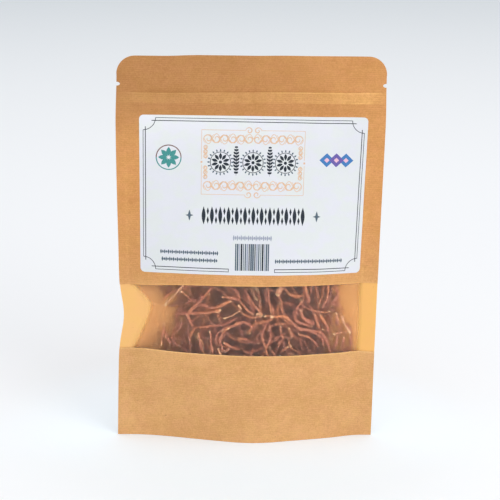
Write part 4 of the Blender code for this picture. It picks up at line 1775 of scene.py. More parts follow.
@dataclass
class Heap:
    """Grows a loose heap from the back wall towards the film, on a grid seen from the front.

    A strand covers the cells within its radius and a share of a cell (edge) round its points. The
    heap's outline reaches from its middle to both sides, narrows upwards, and spills to the right.
    """

    form: PouchForm
    low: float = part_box("cordyceps_pile")[0].z
    high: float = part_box("cordyceps_pile")[1].z
    grid_left: float = -0.064
    grid_right: float = 0.068
    grid_margin: float = 0.002
    cell: float = 0.0008
    wall_gap: float = 0.0006
    film_gap: float = 0.0004
    strand_gap: float = 0.00012
    window: int = 3
    edge: float = 0.4
    packed_margin: float = 1.1
    hollow_depth: float = 0.35
    middle: float = 0.002
    left_reach: float = 0.052
    right_reach: float = 0.0525
    right_spill: Slope = Slope(0.0115, 0.054, 0.088)
    crease_gap: float = 0.0105
    narrowing: float = 0.16
    narrow_from: float = 0.085

    def __post_init__(self) -> None:
        """Lays out the grid and its lower and upper limits."""
        self.xs = np.arange(self.grid_left, self.grid_right, self.cell)
        self.zs = np.arange(self.low - self.grid_margin, self.high + self.grid_margin, self.cell)
        self.wall = self.form.bulge(*np.meshgrid(self.xs, self.zs))
        self.top = -self.wall + self.wall_gap
        self.open_up()
        span = np.arange(-self.window, self.window + 1)
        self.offset_j, self.offset_i = (o.ravel() for o in np.meshgrid(span, span, indexing="ij"))

    def open_up(self) -> None:
        """Lifts the ceiling to the film."""
        self.ceiling = self.wall - self.film_gap

    def footprint(self, path: Array, radii: Array) -> Footprint | None:
        """Finds the cells under a strand.

        Args:
            path: its points across and up.
            radii: its radius at each of them.

        Returns:
            The cells, or None where it leaves the grid.
        """
        i = np.rint((path[:, 0] - self.xs[0]) / self.cell).astype(int)[:, None] + self.offset_i
        j = np.rint((path[:, 1] - self.zs[0]) / self.cell).astype(int)[:, None] + self.offset_j
        if i.min() < 0 or j.min() < 0 or i.max() >= len(self.xs) or j.max() >= len(self.zs):
            return None
        away = np.hypot(self.xs[i] - path[:, :1], self.zs[j] - path[:, 1:])
        reach = radii[:, None] + self.edge * self.cell
        return Footprint(i, j, away, reach, away <= reach)

    def raise_top(self, found: Footprint, depth: Array) -> None:
        """Counts a strand with this footprint, at this depth at each of its points, as part of the heap."""
        raised = depth[:, None] + found.dome + self.strand_gap
        np.maximum.at(self.top, found.covered, raised[found.near])

    def block(self, strand: Strand) -> None:
        """Keeps the space from a packed strand to the film free, by lowering the ceiling under it.

        Args:
            strand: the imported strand.
        """
        found = self.footprint(strand.points[:, [0, 2]], strand.radii * self.packed_margin)
        if found:
            under = (-strand.points[:, 1] - strand.radii - self.strand_gap)[:, None]
            np.minimum.at(self.ceiling, found.covered, np.broadcast_to(under, found.near.shape)[found.near])

    def cover(self, strand: Strand) -> None:
        """Counts a packed strand as part of the heap.

        Args:
            strand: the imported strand.
        """
        found = self.footprint(strand.points[:, [0, 2]], strand.radii * self.packed_margin)
        if found:
            self.raise_top(found, -strand.points[:, 1])

    def hollow(self, path: Array, radius: float) -> None:
        """Keeps a deep gap free.

        Args:
            path: its points across and up.
            radius: of the gap.
        """
        rear = self.form.bulge(path[:, 0], path[:, 1]) * self.hollow_depth
        points = np.stack([path[:, 0], rear, path[:, 1]], -1)
        self.block(Strand(points, np.full(len(points), radius), 0))

    def lay(
        self, path: Array, radii: Array, stiffness: int, kept_back: Array, reach: float | None = None
    ) -> Array | None:
        """Lays a strand on the heap.

        Args:
            path: its points across and up, close together.
            radii: its radius at each of them.
            stiffness: over how many points it bridges dips.
            kept_back: how far behind the film it stays, for each point or for all.
            reach: how far behind the film it lies at most, where it is pressed against it.

        Returns:
            Its points in space, or None if it doesn't fit.
        """
        found = self.footprint(path, radii)
        if not found:
            return None
        own = self.form.bulge(path[:, 0], path[:, 1])
        need = np.where(found.near, self.top[found.j, found.i], -1).max(1) + radii - own
        room = np.where(found.near, self.ceiling[found.j, found.i], 1).min(1) - radii - own
        room = np.minimum(room, -kept_back)
        width = 2 * stiffness + 1
        padded = np.pad(need, 2 * stiffness, mode="edge")
        high = np.lib.stride_tricks.sliding_window_view(padded, width).max(1)
        height = np.lib.stride_tricks.sliding_window_view(high, width).mean(1)
        if reach is not None:
            height = np.minimum(np.maximum(height, -reach - radii), room)
        if np.any(height > room):
            return None
        self.raise_top(found, own + height)
        return np.stack([path[:, 0], -(own + height), path[:, 1]], -1)

    def inside(self, path: Array) -> bool:
        """Tells whether a strand stays in the heap's outline.

        Args:
            path: its points across and up.

        Returns:
            True if all of them do.
        """
        x, z = path[:, 0], path[:, 1]
        narrow = 1 - self.narrowing * smoothstep(self.narrow_from, self.high, z)
        left = np.maximum(self.middle - self.left_reach * narrow, self.form.crease_x(-1, z) + self.crease_gap)
        right = self.middle + self.right_reach * narrow + self.right_spill.left(z)
        return bool(np.all((x > left) & (x < right) & (z > self.low) & (z < self.high)))


@dataclass(frozen=True)
class TubeLook:
    """How the tubes of some strands are made.

    Args:
        step, sides: fineness along a tube and round it.
        wrinkle: depth of the folds in its skin, as a share of its radius.
        waver: how far it wavers from its smooth path.
        twist: how far its flat side turns, in radians for each metre.
    """

    step: float
    sides: int
    wrinkle: float = 0.5
    waver: float = 0.0005
    twist: float = 220.0

    @property
    def inputs(self) -> dict[str, float]:
        """The same as inputs of the strands' tree."""
        return {f.name.capitalize(): getattr(self, f.name) for f in fields(self)}


@dataclass
class StrandTree:
    """Geometry Nodes that turn lines with a thickness into shrivelled tubes.

    A strand is pressed into a few lobes and a little flat, and turns with its tone. Its folds push
    the skin in and out round a level. The form tells how deep behind the film it lies.
    """

    finish: Material
    form: PouchForm
    bend_scale: float = 130.0
    tone_turn: float = 40.0
    lobes: float = 3.0
    lobe_depth: float = 0.10
    flat_depth: float = 0.14
    size: float = 0.92
    skin_scale: float = 900.0
    skin_level: float = 0.75

    def __post_init__(self) -> None:
        """Builds the tree with its inputs."""
        self.tree = bpy.data.node_groups.new("shrivelled_strands", "GeometryNodeTree")
        face = self.tree.interface
        face.new_socket("Geometry", in_out="INPUT", socket_type="NodeSocketGeometry")
        for name in ("Step", "Sides", "Wrinkle", "Waver", "Twist", "Seed"):
            kind = "NodeSocketInt" if name == "Sides" else "NodeSocketFloat"
            face.new_socket(name, in_out="INPUT", socket_type=kind)
        face.new_socket("Geometry", in_out="OUTPUT", socket_type="NodeSocketGeometry")
        self.wire(Sketch(self.tree))

    def named(self, s: Sketch, name: str) -> Socket:
        """Reads one of the strand's attributes."""
        return s.add("GeometryNodeInputNamedAttribute", {"Name": name}, data_type="FLOAT").outputs[0]

    def wire(self, s: Sketch) -> None:
        """Adds the nodes: line to smooth curve to tube, then folds, then the material.

        Args:
            s: sketch of the tree.
        """
        given = s.add("NodeGroupInput").outputs
        curve = s.add("GeometryNodeMeshToCurve", {"Mesh": given["Geometry"]}).outputs[0]
        curve = s.add("GeometryNodeCurveSplineType", {"Curve": curve}, spline_type="CATMULL_ROM").outputs[0]
        inputs = {"Curve": curve, "Length": given["Step"]}
        curve = s.add("GeometryNodeResampleCurve", inputs, mode="LENGTH").outputs[0]
        place = s.add("GeometryNodeInputPosition").outputs[0]
        bend = s.add("ShaderNodeTexNoise", {"Vector": place, "Scale": self.bend_scale, "Detail": 1.0})
        centred = s.vector("SUBTRACT", {0: bend.outputs["Color"], 1: (0.5, 0.5, 0.5)}).outputs[0]
        level = s.vector("MULTIPLY", {0: centred, 1: (1, 0, 1)}).outputs[0]
        shift = s.vector("SCALE", {0: level, "Scale": given["Waver"]}).outputs[0]
        curve = s.add("GeometryNodeSetPosition", {"Geometry": curve, "Offset": shift}).outputs[0]
        run = s.add("GeometryNodeSplineParameter").outputs["Length"]
        tilt = s.plus(s.times(run, given["Twist"]), s.times(self.named(s, "tone"), self.tone_turn))
        curve = s.add("GeometryNodeSetCurveTilt", {"Curve": curve, "Tilt": tilt}).outputs[0]
        profile = s.add("GeometryNodeCurvePrimitiveCircle", {"Resolution": given["Sides"], "Radius": 1.0})
        profile = self.pressed(s, profile.outputs[0])
        size = self.named(s, "thickness")
        inputs = {"Curve": curve, "Profile Curve": profile, "Scale": size, "Fill Caps": True}
        tube = self.folded(s, s.add("GeometryNodeCurveToMesh", inputs).outputs[0], given)
        tube = s.add("GeometryNodeSetShadeSmooth", {"Geometry": tube}).outputs[0]
        tube = s.add("GeometryNodeRealizeInstances", {"Geometry": tube}).outputs[0]
        tube = s.add("GeometryNodeSetMaterial", {"Geometry": tube, "Material": self.finish}).outputs[0]
        s.add("NodeGroupOutput", {"Geometry": tube})

    def pressed(self, s: Sketch, profile: Socket) -> Socket:
        """Presses a round profile into a slightly flat one with a few sides.

        Args:
            s: sketch of the tree.
            profile: the round one.

        Returns:
            The new profile.
        """
        place = s.add("GeometryNodeInputPosition").outputs[0]
        x, y, _ = s.separated(place)
        angle = s.math("ARCTAN2", y, x)
        lobes = s.times(s.math("SINE", s.times(angle, self.lobes)), self.lobe_depth)
        flat = s.times(s.math("COSINE", s.times(angle, 2.0)), self.flat_depth)
        moved = s.vector("SCALE", {0: place, "Scale": s.plus(lobes, flat, self.size)}).outputs[0]
        return s.add("GeometryNodeSetPosition", {"Geometry": profile, "Position": moved}).outputs[0]

    def folded(self, s: Sketch, tube: Socket, given: Sequence[Socket]) -> Socket:
        """Pushes the skin in and out along its normals, and keeps how far as the fold attribute.

        Args:
            s: sketch of the tree.
            tube: the smooth tube.
            given: the tree's inputs.

        Returns:
            The folded tube.
        """
        at = s.add("GeometryNodeInputPosition").outputs[0]
        noise = {"Vector": at, "W": given["Seed"], "Scale": self.skin_scale, "Detail": 2, "Roughness": 0.6}
        skin = s.add("ShaderNodeTexNoise", noise, noise_dimensions="4D").outputs[0]
        fold = s.remap(skin, 0.28, 0.72)
        inputs = {"Geometry": tube, "Name": "fold", "Value": fold}
        stored = s.add("GeometryNodeStoreNamedAttribute", inputs, data_type="FLOAT").outputs[0]
        size = s.times(self.named(s, "thickness"), given["Wrinkle"])
        push = s.times(s.math("SUBTRACT", fold, self.skin_level), size)
        normal = s.add("GeometryNodeInputNormal").outputs[0]
        offset = s.vector("SCALE", {0: normal, "Scale": push}).outputs[0]
        return s.add("GeometryNodeSetPosition", {"Geometry": stored, "Offset": offset}).outputs[0]

    def grow(self, name: str, strands: Sequence[Strand], look: TubeLook, seed: float) -> Object:
        """Makes one piece from strands.

        Args:
            name: of the piece.
            strands: what it holds.
            look: how its tubes are made.
            seed: chooses their folds.

        Returns:
            The finished piece, as a plain mesh.
        """
        points, edges, thickness, along, tone, deep = [], [], [], [], [], []
        for strand in strands:
            first, count = len(points), len(strand.points)
            points.extend(strand.points.tolist())
            edges.extend((first + i, first + i + 1) for i in range(count - 1))
            thickness.extend(strand.radii)
            along.extend(np.linspace(0, 1, count))
            tone.extend([strand.tone] * count)
            x, y, z = strand.points.T
            # depth behind the film in millimetres, which the finish turns into painted shade
            deep.extend((y + self.form.bulge(x, z)) / MM)
        mesh = bpy.data.meshes.new(name)
        mesh.from_pydata(points, edges, [])
        for key, numbers in (("thickness", thickness), ("along", along), ("tone", tone), ("deep", deep)):
            add_numbers(mesh, key, numbers)
        made = new_object(name, mesh)
        grown = made.modifiers.new("grow", "NODES")
        grown.node_group = self.tree
        values = {**look.inputs, "Seed": seed}
        for item in self.tree.interface.items_tree:
            if item.name in values:
                grown[item.identifier] = values[item.name]
        evaluated = made.evaluated_get(bpy.context.evaluated_depsgraph_get())
        made.data = bpy.data.meshes.new_from_object(evaluated)
        made.modifiers.clear()
        bpy.data.meshes.remove(mesh)
        return made


@dataclass(frozen=True)
class Layer:
    """One layer of the tangle, from the back wall forwards.

    Args:
        name: of its pieces.
        count: how many strands it holds at most.
        tries: how many are tried.
        length, stem, swell: ranges of a strand's length, its stem's radius and how much wider its head is.
        bottom, top: range of heights.
        stiffness: over how many points a strand bridges dips.
        kept_back: how far its strands stay behind the film at least.
        look: how their tubes are made.
    """

    name: str
    count: int
    tries: int
    length: Point2
    stem: Point2
    swell: Point2
    bottom: float
    top: float
    stiffness: int
    kept_back: float
    look: TubeLook


@dataclass(frozen=True)
class Drawn:
    """A strand that is drawn on the window.

    Args:
        radius: in millimetres.
        tone: 0 for a light one to 1 for a dark one.
        behind: how far behind the film it may lie at most, in millimetres.
        path: points across and up in millimetres, from the cut foot to the head.
    """

    radius: float
    tone: float
    behind: float
    path: tuple[Point2, ...]


# Deep gaps: radius and path in millimetres, across and up.
HOLLOWS = (
    (2.2, ((-14.0, 81.5), (-6.5, 82.8))),
    (2.0, ((-18.0, 93.0), (-18.0, 84.0))),
    (2.0, ((-31.0, 92.5), (-26.0, 92.0))),
    (2.0, ((-14.0, 92.5), (-8.0, 92.0))),
    (1.8, ((29.5, 93.5), (30.0, 89.5))),
    (1.5, ((35.5, 77.5), (37.0, 76.0))),
    (1.8, ((-22.0, 73.5), (-19.0, 73.0))),
)

# Strands that lie close behind the film, from the rear ones to the front ones.
FRONT = (
    Drawn(0.9, 0.50, 2.5, ((-34.5, 75.5), (-33.6, 72.0), (-31.2, 68.0))),
    Drawn(0.9, 0.20, 2.2, ((-38.6, 88.3), (-36.0, 91.0), (-33.0, 95.0))),
    Drawn(1.1, 0.30, 1.8, ((-26.0, 85.6), (-23.2, 89.4), (-20.4, 94.0))),
    Drawn(0.8, 0.50, 2.5, ((30.6, 85.0), (28.6, 82.6), (26.8, 79.6))),
    Drawn(0.8, 0.30, 1.8, ((47.6, 91.4), (50.4, 90.4), (52.6, 87.6))),
    Drawn(1.3, 0.10, 3.5, ((23.6, 69.0), (24.6, 66.0), (26.4, 62.8))),
    Drawn(0.8, 0.30, 1.8, ((-5.4, 62.5), (-2.5, 62.9), (0.9, 62.5))),
    Drawn(0.8, 0.50, 1.5, ((-14.0, 60.8), (-10.0, 58.6), (-4.6, 56.2))),
    Drawn(0.7, 0.12, 1.2, ((-38.5, 89.6), (-35.0, 87.0), (-31.8, 84.0))),
    Drawn(1.6, 0.26, 1.2, ((-35.0, 75.5), (-31.5, 79.5), (-28.3, 83.0), (-26.6, 86.0), (-26.4, 88.8))),
    Drawn(1.1, 0.34, 1.0, ((-10.0, 84.9), (-13.0, 83.6), (-16.0, 82.0), (-20.0, 80.6), (-24.0, 80.7),
                            (-26.6, 83.2))),
    Drawn(1.1, 0.30, 1.2, ((-15.2, 87.0), (-11.0, 87.4), (-8.0, 86.8), (-4.6, 85.3))),
    Drawn(1.6, 0.08, 1.0, ((16.2, 88.6), (17.3, 91.0), (19.2, 94.5))),
    Drawn(1.0, 0.38, 1.2, ((-15.0, 67.3), (-11.0, 69.4), (-7.0, 72.1), (-3.0, 73.1), (0.5, 72.0),
                            (3.2, 69.0))),
    Drawn(0.7, 0.40, 1.2, ((29.0, 65.4), (33.0, 64.2), (36.4, 62.6), (39.0, 59.5), (41.8, 55.6))),
    Drawn(0.8, 0.38, 0.8, ((-28.3, 65.4), (-27.2, 60.0), (-26.3, 54.0))),
    Drawn(1.4, 0.42, 1.0, ((30.0, 80.0), (30.9, 75.6), (34.0, 73.4), (37.4, 72.0), (38.6, 69.2))),
    Drawn(0.9, 0.35, 1.2, ((38.6, 77.0), (38.4, 72.2))),
    Drawn(1.1, 0.34, 0.8, ((41.6, 76.4), (44.0, 71.5), (46.4, 68.0), (47.0, 64.2))),
    Drawn(0.8, 0.26, 1.0, ((36.0, 95.0), (35.9, 88.0))),
    Drawn(1.2, 0.16, 0.6, ((32.2, 94.5), (33.4, 88.3), (35.2, 82.6))),
    Drawn(0.8, 0.22, 0.6, ((46.0, 94.5), (45.9, 87.5), (44.2, 82.5), (41.4, 79.0))),
    Drawn(1.0, 0.28, 0.8, ((52.4, 62.4), (51.6, 56.0))),
    Drawn(1.0, 0.50, 0.8, ((60.0, 61.2), (61.4, 55.6))),
    Drawn(1.0, 0.14, 0.4, ((56.2, 61.4), (56.0, 56.4))),
    Drawn(0.8, 0.30, 0.8, ((-47.4, 62.0), (-45.6, 59.6), (-42.6, 57.4))),
    Drawn(0.9, 0.26, 0.6, ((-15.5, 79.8), (-19.0, 78.6), (-24.0, 77.4), (-30.0, 76.8), (-36.0, 76.0),
                            (-42.0, 75.0))),
    Drawn(0.6, 0.05, 0.1, ((-49.3, 56.6), (-49.0, 60.4))),
    Drawn(1.0, 0.00, 0.4, ((-5.8, 83.0), (-4.8, 81.5), (-3.4, 79.9))),
    Drawn(1.0, 0.02, 0.3, ((4.4, 77.6), (6.0, 78.6), (8.0, 78.9))),
    Drawn(1.0, 0.10, 0.2, ((51.2, 76.8), (51.7, 72.0), (52.7, 67.0))),
    Drawn(0.9, 0.03, 0.1, ((60.2, 63.2), (58.0, 66.6), (55.6, 70.0), (54.5, 75.8))),
    Drawn(0.5, 0.10, 0.0, ((49.6, 64.0), (54.0, 64.3), (58.6, 64.4))),
    Drawn(1.05, 0.22, 0.1, ((12.6, 76.3), (16.0, 76.6), (19.5, 76.8), (22.5, 75.6), (24.8, 73.3),
                            (27.2, 70.4), (30.4, 68.3), (35.0, 67.7), (39.5, 66.7), (42.8, 65.0),
                            (45.0, 62.0), (46.4, 58.8), (47.6, 56.0))),
    Drawn(0.8, 0.16, 0.2, ((-11.0, 69.5), (-13.6, 67.6), (-15.2, 65.0), (-16.0, 62.0), (-15.2, 59.0),
                            (-13.8, 55.5))),
    Drawn(0.7, 0.20, 0.2, ((-22.0, 67.0), (-20.9, 63.6), (-21.3, 59.5), (-19.6, 54.6))),
    Drawn(0.9, 0.00, 0.1, ((-17.0, 57.2), (-15.8, 54.8), (-15.0, 51.5))),
    Drawn(0.6, 0.04, 0.0, ((-47.5, 79.5), (-46.0, 82.5), (-43.5, 85.2), (-40.0, 89.5), (-36.0, 95.0))),
    Drawn(0.7, 0.00, 0.0, ((-18.6, 78.6), (-17.3, 77.4), (-14.6, 79.4))),
    Drawn(0.5, 0.04, 0.1, ((-14.0, 74.9), (-10.3, 76.2), (-7.0, 78.5), (-4.8, 79.8))),
)


@dataclass
class Filling:
    """The dried cordyceps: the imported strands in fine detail, and the tangle round them.

    A loose strand starts in a range across, drifts over its length, sways, has one kink, swells to
    its head and narrows at its tip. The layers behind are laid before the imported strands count.
    """

    form: PouchForm
    finishes: Finishes
    seed: int = 41
    point_step: float = 0.0008
    point_share: int = 3
    piece_limit: int = 90
    film_gap: float = 0.0005
    left_back: float = 0.0016
    left_end: Point2 = (-0.044, -0.030)
    packed_tones: Point2 = (0.12, 0.65)
    packed_look: TubeLook = TubeLook(0.0005, 14)
    front_look: TubeLook = TubeLook(0.0007, 10, 0.55, 0.0004)
    tangle_seed: float = 3.0
    across: Point2 = (-0.056, 0.062)
    drift: float = 1.0
    kink: float = 0.5
    kink_from: float = 0.3
    kink_soft: Point2 = (0.48, 0.52)
    sway: Point2 = (0.3, 1.1)
    turns: Point2 = (0.6, 2.4)
    head: Point2 = (0.25, 0.8)
    tip: Slope = Slope(0.55, 0.9, 1)
    drawn_head: Point2 = (0.2, 0.8)
    drawn_width: Point2 = (0.85, 1.1)
    drawn_tip: Slope = Slope(0.5, 0.92, 1)
    behind: tuple[Layer, ...] = (
        Layer(
            "deep", 260, 5000, (0.030, 0.070), (0.0010, 0.0016), (1.05, 1.25), 0.040, 0.142, 5, 0.0040,
            TubeLook(0.0016, 7),
        ),
        Layer(
            "middle", 420, 9000, (0.025, 0.070), (0.0006, 0.0011), (1.1, 1.5), 0.040, 0.120, 4, 0.0022,
            TubeLook(0.0012, 8),
        ),
    )
    before: tuple[Layer, ...] = (
        Layer(
            "near", 16, 3000, (0.025, 0.060), (0.0004, 0.0008), (1.1, 1.8), 0.047, 0.104, 3, 0.0018,
            TubeLook(0.0007, 10),
        ),
    )

    def route(self, layer: Layer, rng: np.random.Generator) -> tuple[Array, Array]:
        """Draws a lazily bent strand.

        Args:
            layer: what it is for.
            rng: source of the random numbers.

        Returns:
            Its points across and up, and its radius at each of them.
        """
        length = rng.uniform(*layer.length)
        count = round(length / self.point_step)
        t = np.linspace(0, 1, count)
        heading = rng.uniform(0, 2 * math.pi)
        drift, sway = rng.normal(0, self.drift), rng.uniform(*self.sway)
        turns, phase = rng.uniform(*self.turns), rng.uniform(0, 2 * math.pi)
        kink = rng.normal(0, self.kink)
        kink = kink * smoothstep(*self.kink_soft, t - rng.uniform(-self.kink_from, self.kink_from))
        angle = heading + drift * t + sway * np.sin(2 * math.pi * turns * t + phase) + kink
        step = np.stack([np.cos(angle), np.sin(angle)], -1) * length / count
        start = np.array([rng.uniform(*self.across), rng.uniform(layer.bottom, layer.top)])
        stem = rng.uniform(*layer.stem)
        radii = mix(stem, stem * rng.uniform(*layer.swell), smoothstep(*self.head, t))
        radii = radii * uneven(count, self.point_step, heading)
        return start + np.cumsum(step, 0), radii * (1 - self.tip.done(t))

    def fill(self, heap: Heap, layer: Layer, rng: np.random.Generator) -> list[Strand]:
        """Lays one layer's strands on the heap.

        Args:
            heap: what they are laid on.
            layer: the layer.
            rng: source of the random numbers.

        Returns:
            The strands that fit.
        """
        laid = []
        for _ in range(layer.tries):
            if len(laid) == layer.count:
                break
            path, radii = self.route(layer, rng)
            tone = rng.uniform(0, 1)
            kept_back = layer.kept_back + self.left_back * fade(*self.left_end, path[:, 0])
            points = heap.lay(path, radii, layer.stiffness, kept_back) if heap.inside(path) else None
            if points is not None:
                laid.append(Strand(points[:: self.point_share], radii[:: self.point_share], tone))
        log.info("%d strands laid in the %s layer", len(laid), layer.name)
        return laid

    def lay_drawn(self, heap: Heap, stiffness: int = 3) -> list[Strand]:
        """Lays the drawn strands close behind the film.

        Args:
            heap: what they are laid on.
            stiffness: over how many points they bridge dips.

        Returns:
            The strands that fit.
        """
        laid = []
        for number, drawn in enumerate(FRONT):
            path = rounded(drawn.path, self.point_step)
            t = np.linspace(0, 1, len(path))
            width = mix(*self.drawn_width, smoothstep(*self.drawn_head, t)) * (1 - self.drawn_tip.done(t))
            radii = drawn.radius * MM * width * uneven(len(path), self.point_step, number)
            points = heap.lay(path, radii, stiffness, np.zeros(1), self.film_gap + drawn.behind * MM)
            if points is not None:
                laid.append(Strand(points[:: self.point_share], radii[:: self.point_share], drawn.tone))
        log.info("%d drawn strands laid", len(laid))
        return laid

    def tangle(
        self, packed: Sequence[Strand], rng: np.random.Generator
    ) -> list[tuple[str, TubeLook, list[Strand]]]:
        """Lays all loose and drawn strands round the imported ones.

        Args:
            packed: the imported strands.
            rng: source of the random numbers.

        Returns:
            Name, look and strands of each layer.
        """
        heap = Heap(self.form)
        packed = [dense(strand, self.point_step) for strand in packed]
        hollows = [(rounded(path, self.point_step), radius * MM) for radius, path in HOLLOWS]
        for strand in packed:
            heap.block(strand)
        for path, radius in hollows:
            heap.hollow(path, radius)
        layers = [(layer.name, layer.look, self.fill(heap, layer, rng)) for layer in self.behind]
        for strand in packed:
            heap.cover(strand)
        heap.open_up()
        for path, radius in hollows:
            heap.hollow(path, radius)
        layers += [(layer.name, layer.look, self.fill(heap, layer, rng)) for layer in self.before]
        heap.open_up()
        return [*layers, ("front", self.front_look, self.lay_drawn(heap))]

    def build(self) -> list[Object]:
        """Makes every strand and stands it in for its packed one.

        Returns:
            The pieces.
        """
        tree = StrandTree(self.finishes.strand, self.form)
        rng = np.random.default_rng(self.seed)
        names = sorted(n for n in FRAME["nodes"] if n.startswith("cordyceps_") and n != "cordyceps_pile")
        made, packed = [], []
        for name in names:
            strand = strand_from_node(FRAME["nodes"][name], rng.uniform(*self.packed_tones))
            packed.append(strand)
            seed = rng.uniform(0, 9)
            piece = tree.grow(name.replace("cordyceps", "dried_cordyceps"), [strand], self.packed_look, seed)
            dress(piece, "dried_fungus", self.finishes.strand)
            made.append(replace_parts(piece, name))
        for name, look, strands in self.tangle(packed, rng):
            for part in range(0, len(strands), self.piece_limit):
                number = part // self.piece_limit + 1
                held = strands[part : part + self.piece_limit]
                piece = tree.grow(f"tangle_{name}_{number}", held, look, self.tangle_seed)
                dress(piece, "dried_fungus", self.finishes.strand)
                made.append(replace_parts(piece, "cordyceps_pile"))
        return made


# Depth, length in metres and shift of each swelling along a strand.
SWELLINGS = ((0.20, 0.0016, 1.0), (0.12, 0.0006, 2.3))


def uneven(count: int, step: float, start: float) -> Array:
    """Makes swellings and narrow places along a strand.

    Args:
        count: of its points.
        step: distance between them.
        start: shifts the swellings, so that each strand has its own.

    Returns:
        A factor for the radius at each point.
    """
    run = np.arange(count) * step
    factor = 1.0
    for depth, length, shift in SWELLINGS:
        factor = factor + depth * np.sin(run / length + shift * start)
    return factor


def spaced(points: Array, step: float) -> Array:
    """Places new points along a line.

    Args:
        points: the old ones, in rows.
        step: distance between the new ones, or so.

    Returns:
        The new ones, in rows.
    """
    run = run_along(points)
    at = np.linspace(0, run[-1], max(2, round(run[-1] / step)))
    return np.stack([np.interp(at, run, column) for column in points.T], -1)


def rounded(path: Sequence[Point2], step: float) -> Array:
    """Rounds off a line's corners, by cutting each of them three times.

    Args:
        path: its points in millimetres.
        step: distance between the new points, or so.

    Returns:
        The new points in metres.
    """
    corners = np.array(path) * MM
    for _ in range(3):
        near, far = mix(corners[:-1], corners[1:], 0.25), mix(corners[:-1], corners[1:], 0.75)
        inner = np.stack([near, far], 1).reshape(-1, 2)[1:-1]
        corners = np.concatenate([corners[:1], inner, corners[-1:]])
    return spaced(corners, step)


def dense(strand: Strand, step: float) -> Strand:
    """The same strand with points every step or so."""
    line = spaced(np.column_stack([strand.points, strand.radii]), step)
    return Strand(line[:, :3], line[:, 3], strand.tone)


@dataclass
class Zip:
    """The two halves of the zip: a strip against each wall, one with a rib, the other with its groove."""

    form: PouchForm
    finishes: Finishes
    half_length: float = 0.063
    web: float = 0.00035
    rib_width: float = 0.00045
    gap: float = 0.00002
    inset: float = 0.0002
    columns: int = 150
    rows: int = 61

    def strip(self, name: str, depth: Depth, side: int, ribs: Sequence[Point2]) -> Object:
        """Makes one strip.

        Args:
            name: of the new object.
            depth: function that gives its wall's inner face.
            side: -1 for the front one and 1 for the back one.
            ribs: height above the zip's line and thickness of each rib.

        Returns:
            The strip.
        """
        low, high = self.inset - self.form.zip_below, self.form.zip_above - self.inset
        across = np.linspace(-self.half_length, self.half_length, self.columns)
        x, rise = np.meshgrid(across, np.linspace(low, high, self.rows))
        z = self.form.zip_line(x) + rise
        thick = self.web + sum(extra * hump(rise, middle, self.rib_width, 4) for middle, extra in ribs)
        sway = self.form.sway(x, z)
        wall = depth(x, z) - self.gap
        faces = [np.stack([x, sway + side * (wall - cut), z], -1) for cut in (0, thick)]
        return shell(name, *faces, flip=side > 0)

    def build(self) -> list[Object]:
        """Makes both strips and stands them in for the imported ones.

        Returns:
            The pieces.
        """
        made = []
        for name, node, depth, side, ribs in (
            ("zip_rib", "zip_rib_strip", self.form.front, -1, ((0.0, 0.00080),)),
            ("zip_groove", "zip_groove_strip", self.form.back, 1, ((-0.0013, 0.00045), (0.0013, 0.00045))),
        ):
            piece = dress(self.strip(name, depth, side, ribs), "zip_plastic", *[self.finishes.plastic] * 3)
            made.append(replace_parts(piece, node))
        return made


@dataclass(frozen=True)
class Softbox:
    """A square soft light.

    Args:
        name: of the light.
        place: where it stands.
        size: its side in metres.
        power: in watts.
        colour: of its light.
    """

    name: str
    place: Point3
    size: float
    power: float
    colour: Colour

    def build(self, aim: Vector) -> None:
        """Sets up the light, out of the camera's sight.

        Args:
            aim: the point that it looks at.
        """
        data = bpy.data.lights.new(self.name, "AREA")
        data.shape, data.size, data.energy, data.color = "SQUARE", self.size, self.power, self.colour
        made = new_object(self.name, data)
        made.location = self.place
        made.rotation_euler = (aim - Vector(self.place)).to_track_quat("-Z", "Y").to_euler()
        made.visible_camera = False


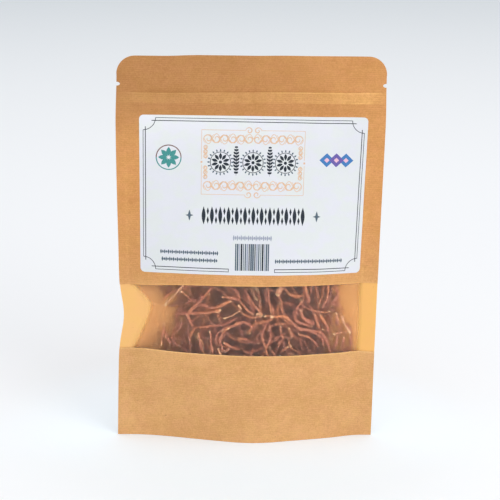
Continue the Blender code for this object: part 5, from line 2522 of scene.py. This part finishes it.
@dataclass
class Studio:
    """Floor, soft light and the camera, with angles in radians and the lens in millimetres."""

    aim: Point3 = (0.0009, 0.0, 0.1124)
    distance: float = 0.9
    side: float = math.radians(3.65)
    pitch: float = math.radians(15.31)
    roll: float = math.radians(1.30)
    lens: float = 113.4
    sensor: float = 36.0
    floor_size: float = 30.0
    floor_drop: float = 0.00005
    low_sky: Colour = (0.48, 0.495, 0.515)
    high_sky: Colour = (1.01, 1.03, 1.06)
    sky_range: Point2 = (0.0, 0.8)
    lights: tuple[Softbox, ...] = (
        Softbox("key", (0.9, -1.2, 0.6), 0.9, 7.2, (1.0, 0.98, 0.95)),
        Softbox("low_front", (-0.10, -0.5, 0.08), 0.3, 0.29, (0.98, 0.98, 0.98)),
    )

    def camera(self) -> None:
        """Places the camera at the photograph's viewing angle."""
        data = bpy.data.cameras.new("camera")
        data.lens, data.sensor_width = self.lens, self.sensor
        made = new_object("camera", data)
        level = math.cos(self.pitch)
        back = Vector((-math.sin(self.side) * level, -math.cos(self.side) * level, math.sin(self.pitch)))
        level_right = Vector((math.cos(self.side), -math.sin(self.side), 0))
        level_up = back.cross(level_right)
        right = math.cos(self.roll) * level_right + math.sin(self.roll) * level_up
        up = math.cos(self.roll) * level_up - math.sin(self.roll) * level_right
        turn = Matrix((right, up, back)).transposed().to_4x4()
        made.matrix_world = Matrix.Translation(Vector(self.aim) + self.distance * back) @ turn
        bpy.context.scene.camera = made

    def floor(self) -> None:
        """Lays the floor."""
        bpy.ops.mesh.primitive_plane_add(size=self.floor_size, location=(0, 0, -self.floor_drop))
        floor = bpy.context.object
        floor.name = "floor"
        floor.data.materials.append(FloorFinish().build())

    def sky(self) -> None:
        """Lights the scene from all sides, more from above."""
        world = bpy.data.worlds.new("studio")
        world.use_nodes = True
        s = Sketch(world.node_tree)
        up = s.separated(s.add("ShaderNodeTexCoord").outputs["Generated"])[2]
        colour = s.blend(s.remap(up, *self.sky_range), self.low_sky, self.high_sky)
        s.feed(world.node_tree.nodes["Background"], {"Color": colour})
        bpy.context.scene.world = world

    def build(self) -> None:
        """Sets up the whole studio."""
        bpy.context.scene.view_settings.view_transform = "Standard"
        self.sky()
        for light in self.lights:
            light.build(Vector(self.aim))
        self.floor()
        self.camera()


def main() -> None:
    logging.basicConfig(level=logging.INFO, format="%(name)s: %(message)s")
    form = PouchForm()
    finishes = Finishes()
    for kind in (Walls, Label, Zip, Filling):
        for piece in kind(form, finishes).build():
            log.info("%s: %s, %d faces", kind.__name__, piece.name, len(piece.data.polygons))
    Studio().build()


if __name__ == "__main__":
    main()
